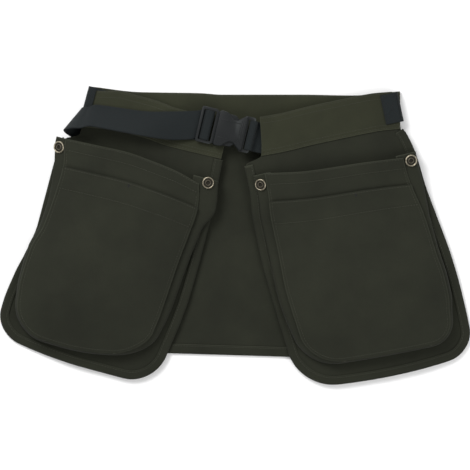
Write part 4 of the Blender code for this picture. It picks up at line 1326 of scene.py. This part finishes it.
def raised_bar(matrix, low, high, radius):
    """A box with rounded edges, between two corners of the buckle's frame."""
    bpy.ops.object.select_all(action="DESELECT")
    bpy.ops.mesh.primitive_cube_add(size=1)
    bar = bpy.context.object
    size = Vector(high) - Vector(low)
    bar.data.transform(Matrix.Diagonal((*size, 1)))
    bar.data.transform(Matrix.Translation((Vector(low) + Vector(high)) / 2))
    soften(bar, radius, 30)
    bar.data.transform(matrix)
    return bar


def joined(name, parts, finish):
    bpy.ops.object.select_all(action="DESELECT")
    for part in parts:
        part.select_set(True)
    bpy.context.view_layer.objects.active = parts[0]
    if len(parts) > 1:
        bpy.ops.object.join()
    parts[0].name = name
    bpy.ops.object.shade_smooth_by_angle(angle=math.radians(35))
    return dress(parts[0], None, finish)


def buckle_details(left, finish):
    """Grip ribs on the middle bar's rails and cross ribs on the receptacle."""
    matrix = buckle_matrix(left)
    top = BUCKLE_THICK / 2
    half = BUCKLE_WIDTH / 2
    mouth = 2 * (RAIL + SLOT_WIDTH) + BAR_WIDTH + RUN_CLEARANCE
    shell = BUCKLE_LENGTH - END_BAR - TAB_SLOT - RAIL
    field = (mouth + 4 * MM, shell - 7 * MM)
    bars = []
    for side in (-1, 1):
        edge = side * (half - NOTCH_DEPTH - 2.6 * MM)
        low, high = sorted((edge, edge - side * GRIP_RIB_WIDTH))
        corners = (field[0], low, top - MM), (field[1], high, top + GRIP_RIB_RISE)
        bars.append(raised_bar(matrix, *corners, RIB_EDGE))
    wide = half - NOTCH_DEPTH * 0.9
    for along in spread(field[1] + 1.2 * MM, shell - 1.6 * MM, 3):
        low = (along - CROSS_RIB_WIDTH / 2, -wide, top - MM)
        high = (along + CROSS_RIB_WIDTH / 2, wide, top + CROSS_RIB_RISE)
        bars.append(raised_bar(matrix, low, high, RIB_EDGE))
    return joined("buckle_ribs", bars, finish)


# Stitches are laid on the finished cloth, found from above.
def spots_along(line, pitch):
    """Evenly spaced places along a line of floor places, each with its way ahead."""
    found, left_over = [], 0.0
    for a, b in zip(line, line[1:]):
        a, b = Vector(a[:2]), Vector(b[:2])
        length = (b - a).length
        if length < 1e-9:
            continue
        ahead = (b - a) / length
        at = left_over
        while at < length:
            found.append((a + ahead * at, ahead))
            at += pitch
        left_over = at - length
    return found


def on_cloth(targets, spot):
    """The highest place of the targets over a floor place, with its normal, or None."""
    best = None
    for target in targets:
        hit, place, normal, _ = target.ray_cast(Vector((spot.x, spot.y, 0.2)), Vector((0, 0, -1)))
        if hit and (best is None or place.z > best[0].z):
            best = (place, normal)
    return best


def add_stitch(points, faces, place, ahead, up, length, width):
    """A short thread that dips into the cloth at both ends."""
    side = up.cross(ahead).normalized()
    ahead = side.cross(up).normalized()
    first = len(points)
    points.append(place - ahead * length / 2 - up * width * 0.35)
    for share in (-0.30, 0.30):
        middle = place + ahead * length * share + up * width * 0.12
        for turn in range(6):
            angle = math.pi * turn / 3
            points.append(
                middle + side * math.cos(angle) * width / 2 + up * math.sin(angle) * width / 2
            )
    points.append(place + ahead * length / 2 - up * width * 0.35)
    for turn in range(6):
        after = (turn + 1) % 6
        faces.append((first, first + 1 + after, first + 1 + turn))
        faces.append((first + 1 + turn, first + 1 + after, first + 7 + after, first + 7 + turn))
        faces.append((first + 13, first + 7 + turn, first + 7 + after))


def stitching(name, targets, lines, finish, slot="olive_canvas", size=STITCH_SIZE):
    """Rows of stitches along lines on the targets. The size is their pitch and length."""
    pitch, length = size
    points, faces = [], []
    for line in lines:
        for spot, ahead in spots_along(line, pitch):
            found = on_cloth(targets, spot)
            if found and found[1].z > 0.25:
                add_stitch(points, faces, *found[:1], Vector((*ahead, 0)), found[1], length, THREAD)
    mesh = bpy.data.meshes.new(name)
    mesh.from_pydata([tuple(p) for p in points], [], faces)
    mesh.shade_smooth()
    return dress(placed(name, mesh), None, finish)


def bar_tack(centre, ahead, length, width):
    """A tight zigzag's runs, as short lines side by side across the tack."""
    side = Vector((-ahead.y, ahead.x))
    lines = []
    for at in spread(-length / 2, length / 2, int(length / (0.7 * THREAD))):
        middle = centre + ahead * at
        lines.append([middle - side * width / 2, middle + side * width / 2])
    return lines


def pocket_stitches(frame, face, slot_layer, finish, dark):
    inset = FACE_SEAM / POCKET_WIDTH
    shares = spread(inset, 1 - inset, 60)
    fall = slot_fall(frame)
    run = [step[:2] for step in gusset_run(frame)[12:-12]]
    lines = [[frame.world(*(point - out * FACE_SEAM)) for point, out in run]]
    on_face = (FACE_HEM / SLOT_DROP, EDGE_SEAM / SLOT_DROP)
    for row in (*on_face, 1 + SLOT_HEM / fall, 1 + EDGE_SEAM / fall):
        lines.append([frame.world(*pocket_place(frame, share, row)) for share in shares])
    stitching(frame.side + "_pocket_stitches", [face, slot_layer], lines, finish)
    centre = frame.world(*pocket_place(frame, TACKS[frame.side], 1 + TACK_DOWN / fall))
    tack = bar_tack(centre, -frame.down, *TACK_SIZE)
    looks = {"slot": "black_webbing", "size": TACK_STITCH}
    stitching(frame.side + "_pocket_tack", [slot_layer], tack, dark, **looks)


def panel_stitches(frame, binding, band, finish):
    inner = TAPE_WIDTH - EDGE_SEAM
    half = TAPE_GAP + (CANVAS + TAPE_PLY) / 2
    lines = [[frame.world(*(point + out * (half - inner))) for point, out in panel_run(frame)]]
    for below in (BAND_HEIGHT - 1.4 * MM, BAND_HEIGHT - 5.2 * MM, 3.0 * MM, 9.0 * MM):
        shares = spread(0.015, 0.985, 60)
        lines.append([frame.world(*panel_place(frame, share, below)) for share in shares])
    return stitching(frame.side + "_panel_stitches", [binding, band], lines, finish)


def back_stitches(band, hem, finish):
    lines = []
    for below in (BAND_HEIGHT - 1.4 * MM, 3.0 * MM, BACK_DROP - BACK_HEM + EDGE_SEAM):
        lines.append([back_point(share, below, 0).xy for share in spread(0.01, 0.99, 60)])
    return stitching("back_stitches", [band, hem], lines, finish)


def strap_stitches(frame, strap, finish):
    """A box with a cross, where a side strap is sewn to the front band."""
    start = PANEL_WIDTH * STRAP_FOLD[frame.side] + 3 * MM
    end = PANEL_WIDTH * STRAP_END[frame.side] - 2 * MM
    top = WEBBING_WIDTH * STRAP_TOP[frame.side] + 3 * MM
    foot = top + WEBBING_WIDTH - 6 * MM
    a, b, c, d = (
        frame.world(across, down)
        for across, down in ((start, top), (end, top), (end, foot), (start, foot))
    )
    lines = [[a, b, c, d, a], [a, c], [b, d]]
    return stitching(frame.side + "_strap_stitches", [strap], lines, finish, slot="black_webbing")


# The finishes, as linear colours.
WEBBING_BLACK = (0.0124, 0.0156, 0.0164)
PLASTIC_BLACK = (0.0065, 0.0078, 0.0082)
# The paler colour of the painted highlight on the buckle's sharp edges.
PLASTIC_EDGE_HIGHLIGHT = (0.036, 0.040, 0.040)
BRASS_TONES = ((0.150, 0.130, 0.095), (0.430, 0.390, 0.290))
BRASS_DARK = (0.012, 0.011, 0.009)

# Each cloth's colour, its rims' painted highlight, its roughness, thread pitch, relief and sheen.
CANVAS_WEAVE = (0.82, 0.75 * MM, 0.18 * MM, 0.04)
THREAD_TWIST = (0.7, 0.4 * MM, 0.05 * MM, 0.1)
CLOTHS = {
    "olive_canvas": ((0.0155, 0.0169, 0.0104), (0.046, 0.050, 0.034), *CANVAS_WEAVE),
    "band_canvas": ((0.0232, 0.0250, 0.0134), (0.060, 0.064, 0.040), *CANVAS_WEAVE),
    "olive_thread": ((0.046, 0.048, 0.033), (0.05, 0.05, 0.035), *THREAD_TWIST),
    "black_thread": ((0.0100, 0.0105, 0.0100), (0.03, 0.03, 0.03), *THREAD_TWIST),
}


class Finish:
    """A material with the steps that its look is made of."""

    def __init__(self, name, colour, roughness):
        self.material = bpy.data.materials.new(name)
        self.material.use_nodes = True
        self.shader = self.material.node_tree.nodes["Principled BSDF"]
        self.set("Base Color", (*colour, 1.0))
        self.set("Roughness", roughness)

    def set(self, name, value):
        self.shader.inputs[name].default_value = value

    def add(self, kind, **settings):
        node = self.material.node_tree.nodes.new("ShaderNode" + kind)
        for key, value in settings.items():
            if hasattr(node, key):
                setattr(node, key, value)
            else:
                node.inputs[key.replace("_", " ")].default_value = value
        return node

    def link(self, start, out, end, into):
        self.material.node_tree.links.new(start.outputs[out], end.inputs[into])

    def waves(self, pitch, direction):
        """Bands of thread, one way, at this pitch in metres."""
        looks = {"wave_type": "BANDS", "wave_profile": "SIN", "bands_direction": direction}
        sizes = {"Scale": 2 * math.pi / (20 * pitch), "Detail": 1.0, "Detail_Scale": 2.0}
        waves = self.add("TexWave", Distortion=0.6, **looks, **sizes)
        self.link(self.add("UVMap", uv_map="grain"), "UV", waves, "Vector")
        return waves.outputs["Color"]

    def noise(self, scale, detail, roughness):
        """Cloudy patches, fixed to the piece."""
        cloud = self.add("TexNoise", Scale=scale, Detail=detail, Roughness=roughness)
        self.link(self.add("TexCoord"), "Object", cloud, "Vector")
        return cloud

    def ramp(self, source, out, low, high, places=(0.0, 1.0)):
        """A tone from low to high."""
        ramp = self.add("ValToRGB")
        for end, colour, place in zip(ramp.color_ramp.elements, (low, high), places):
            end.color = (*colour, 1.0)
            end.position = place
        self.link(source, out, ramp, "Fac")
        return ramp.outputs["Color"]

    def ranged(self, source, out, **ends):
        """A number brought from one range into another."""
        ranged = self.add("MapRange", **ends)
        self.link(source, out, ranged, "Value")
        return ranged

    def mixed(self, first, second, mode="MULTIPLY", share=1.0):
        """Two colours mixed."""
        node = self.add("Mix", data_type="RGBA", blend_type=mode)
        node.inputs["Factor"].default_value = share
        for source, socket in ((first, 6), (second, 7)):
            if isinstance(source, tuple):
                node.inputs[socket].default_value = (*source, 1.0)
            else:
                self.material.node_tree.links.new(source, node.inputs[socket])
        return node

    def over(self, base, top, share, out):
        """The base colour, with the top one over it by the share."""
        both = self.mixed(base, top, "MIX", 0.0)
        self.link(share, out, both, "Factor")
        self.link(both, 2, self.shader, "Base Color")

    def marked(self, name, most):
        """A share of the mark that the mesh holds under this name."""
        mark = self.add("Attribute", attribute_name=name)
        share = self.add("Math", operation="MULTIPLY")
        self.link(mark, "Fac", share, 0)
        share.inputs[1].default_value = most
        return mark, share

    def bump(self, source, out, strength, depth):
        bump = self.add("Bump", Strength=strength, Distance=depth)
        self.link(source, out, bump, "Height")
        self.link(bump, "Normal", self.shader, "Normal")


def shade(colour, tone):
    return tuple(part * tone for part in colour)


def woven(name, colour, rim_highlight, roughness, pitch, depth, sheen):
    """Cloth with two ways of thread, wax uneven in broad patches, and painted highlights on its
    rims.
    """
    made = Finish(name, colour, roughness)
    both = made.mixed(made.waves(pitch, "X"), made.waves(pitch * 1.15, "Y"), share=0.75)
    patches = made.noise(14.0, 5.0, 0.6)
    tone = made.ramp(patches, "Fac", shade(colour, 0.82), shade(colour, 1.24), (0.30, 0.72))
    thread = made.ranged(both, 2, To_Min=0.80, To_Max=1.14)
    toned = made.mixed(tone, thread.outputs["Result"])
    flecks = made.ranged(made.noise(420.0, 2.0, 0.7), "Fac", To_Min=0.88, To_Max=1.12)
    flecked = made.mixed(toned.outputs[2], flecks.outputs["Result"])
    # The rims marked in the mesh get a painted highlight: the paler colour laid over the cloth's
    # own.
    made.over(flecked.outputs[2], rim_highlight, made.marked("rim", 0.55)[1], "Value")
    made.bump(both, 2, 0.5, depth)
    made.set("Sheen Weight", sheen)
    made.set("Sheen Roughness", 0.5)
    made.set("Specular IOR Level", 0.16)
    return made.material


def ribbed_webbing():
    """Black webbing: close ribs across it, crossed by finer lines along it."""
    made = Finish("webbing_weave", WEBBING_BLACK, 0.85)
    both = made.mixed(made.waves(1.5 * MM, "Y"), made.waves(0.9 * MM, "X"), share=0.6)
    tone = made.ramp(both, 2, shade(WEBBING_BLACK, 0.62), shade(WEBBING_BLACK, 1.35))
    made.material.node_tree.links.new(tone, made.shader.inputs["Base Color"])
    made.bump(both, 2, 0.7, 0.25 * MM)
    made.set("Sheen Weight", 0.03)
    made.set("Specular IOR Level", 0.13)
    return made.material


def buckle_plastic():
    """Moulded black plastic with fine grain, faint scuffs and a painted highlight on its sharp
    edges.
    """
    made = Finish("buckle_plastic", PLASTIC_BLACK, 0.36)
    rough = made.ranged(made.noise(90.0, 6.0, 0.7), "Fac", To_Min=0.30, To_Max=0.52)
    made.link(rough, "Result", made.shader, "Roughness")
    made.bump(made.noise(2600.0, 3.0, 0.6), "Fac", 0.25, 0.06 * MM)
    # Sharp edges, found by their pointiness, get a painted highlight.
    bend = made.add("NewGeometry")
    edge = made.ranged(bend, "Pointiness", From_Min=0.54, From_Max=0.66)
    made.over(PLASTIC_BLACK, PLASTIC_EDGE_HIGHLIGHT, edge, "Result")
    made.set("Specular IOR Level", 0.24)
    return made.material


def antique_brass():
    """Darkened brass: bright on its rubbed rims, near black down in the collar and socket."""
    made = Finish("antique_brass", (0.30, 0.24, 0.14), 0.36)
    tone = made.ramp(made.noise(520.0, 5.0, 0.65), "Fac", *BRASS_TONES, (0.32, 0.66))
    sunk, deep = made.marked("sunk", 0.93)
    made.over(tone, BRASS_DARK, deep, "Value")
    dull = made.ranged(sunk, "Fac", To_Min=0.34, To_Max=0.75)
    made.link(dull, "Result", made.shader, "Roughness")
    made.set("Metallic", 0.85)
    return made.material


# The stage: a pale floor, soft light and the photograph's view from above.
VIEW_HEIGHT = 3.6
VIEW_WIDTH = 0.6016
VIEW_CENTRE = (0.6 * MM, -1.2 * MM)
SENSOR = 0.036


def add_camera():
    camera = placed("camera", bpy.data.cameras.new("camera"))
    camera.data.sensor_width = SENSOR * 1000
    camera.data.lens = SENSOR * 1000 * VIEW_HEIGHT / VIEW_WIDTH
    camera.data.clip_end = 20
    camera.location = (*VIEW_CENTRE, VIEW_HEIGHT)
    SCENE.camera = camera


def add_floor():
    bpy.ops.mesh.primitive_plane_add(size=6, location=(0, 0, -0.0006))
    floor = bpy.context.object
    floor.name = "floor"
    made = Finish("pale_floor", (0.93, 0.93, 0.93), 0.9)
    made.set("Specular IOR Level", 0.1)
    floor.data.materials.append(made.material)


def add_light(name, place, size, power):
    """A square lamp that faces the middle of the apron."""
    lamp = bpy.data.lights.new(name, "AREA")
    lamp.shape = "SQUARE"
    lamp.size = size
    lamp.energy = power
    light = placed(name, lamp)
    light.location = place
    light.rotation_euler = (-Vector(place)).to_track_quat("-Z", "Y").to_euler()


def add_studio():
    world = bpy.data.worlds.new("studio")
    world.use_nodes = True
    sky = world.node_tree.nodes["Background"]
    sky.inputs["Color"].default_value = (1, 1, 1, 1)
    sky.inputs["Strength"].default_value = 0.62
    SCENE.world = world
    add_light("key", (-0.9, 1.1, 1.5), 0.9, 34)
    add_light("fill", (1.2, -0.8, 1.4), 1.2, 14)
    SCENE.view_settings.view_transform = "Standard"
    SCENE.view_settings.look = "None"


def main():
    add_camera()
    add_floor()
    add_studio()
    canvas, band, thread, dark_thread = (woven(name, *looks) for name, looks in CLOTHS.items())
    weave = ribbed_webbing()
    plastic = buckle_plastic()
    brass = antique_brass()

    half = LOOP_WIDTH / 2
    left = Frame("left", LOOP_CENTRE_X - half, LEFT_TILT, 1)
    right = Frame("right", LOOP_CENTRE_X + half, RIGHT_TILT, -1)
    back_panel(canvas)
    back_stitches(back_waistband(band), back_hem(canvas), thread)
    for side in (left, right):
        front_panel(side, canvas)
        top_band = front_waistband(side, band)
        binding = edge_binding(side, canvas)
        face = pocket_face(side, canvas)
        slot_layer = slot_pocket(side, canvas)
        gusset(side, canvas)
        pocket_stitches(side, face, slot_layer, thread, dark_thread)
        panel_stitches(side, binding, top_band, thread)
        strap_stitches(side, side_strap(side, weave), dark_thread)
        for end in ("outer", "inner"):
            stud(side, end, brass)
    belt(left, weave)
    buckle_tab(left, right, weave)
    moulded("buckle_male", "buckle_clasp", 0.45 * MM, plastic)
    moulded("buckle_female", "buckle_receptacle", 0.5 * MM, plastic)
    buckle_details(left, plastic)


main()
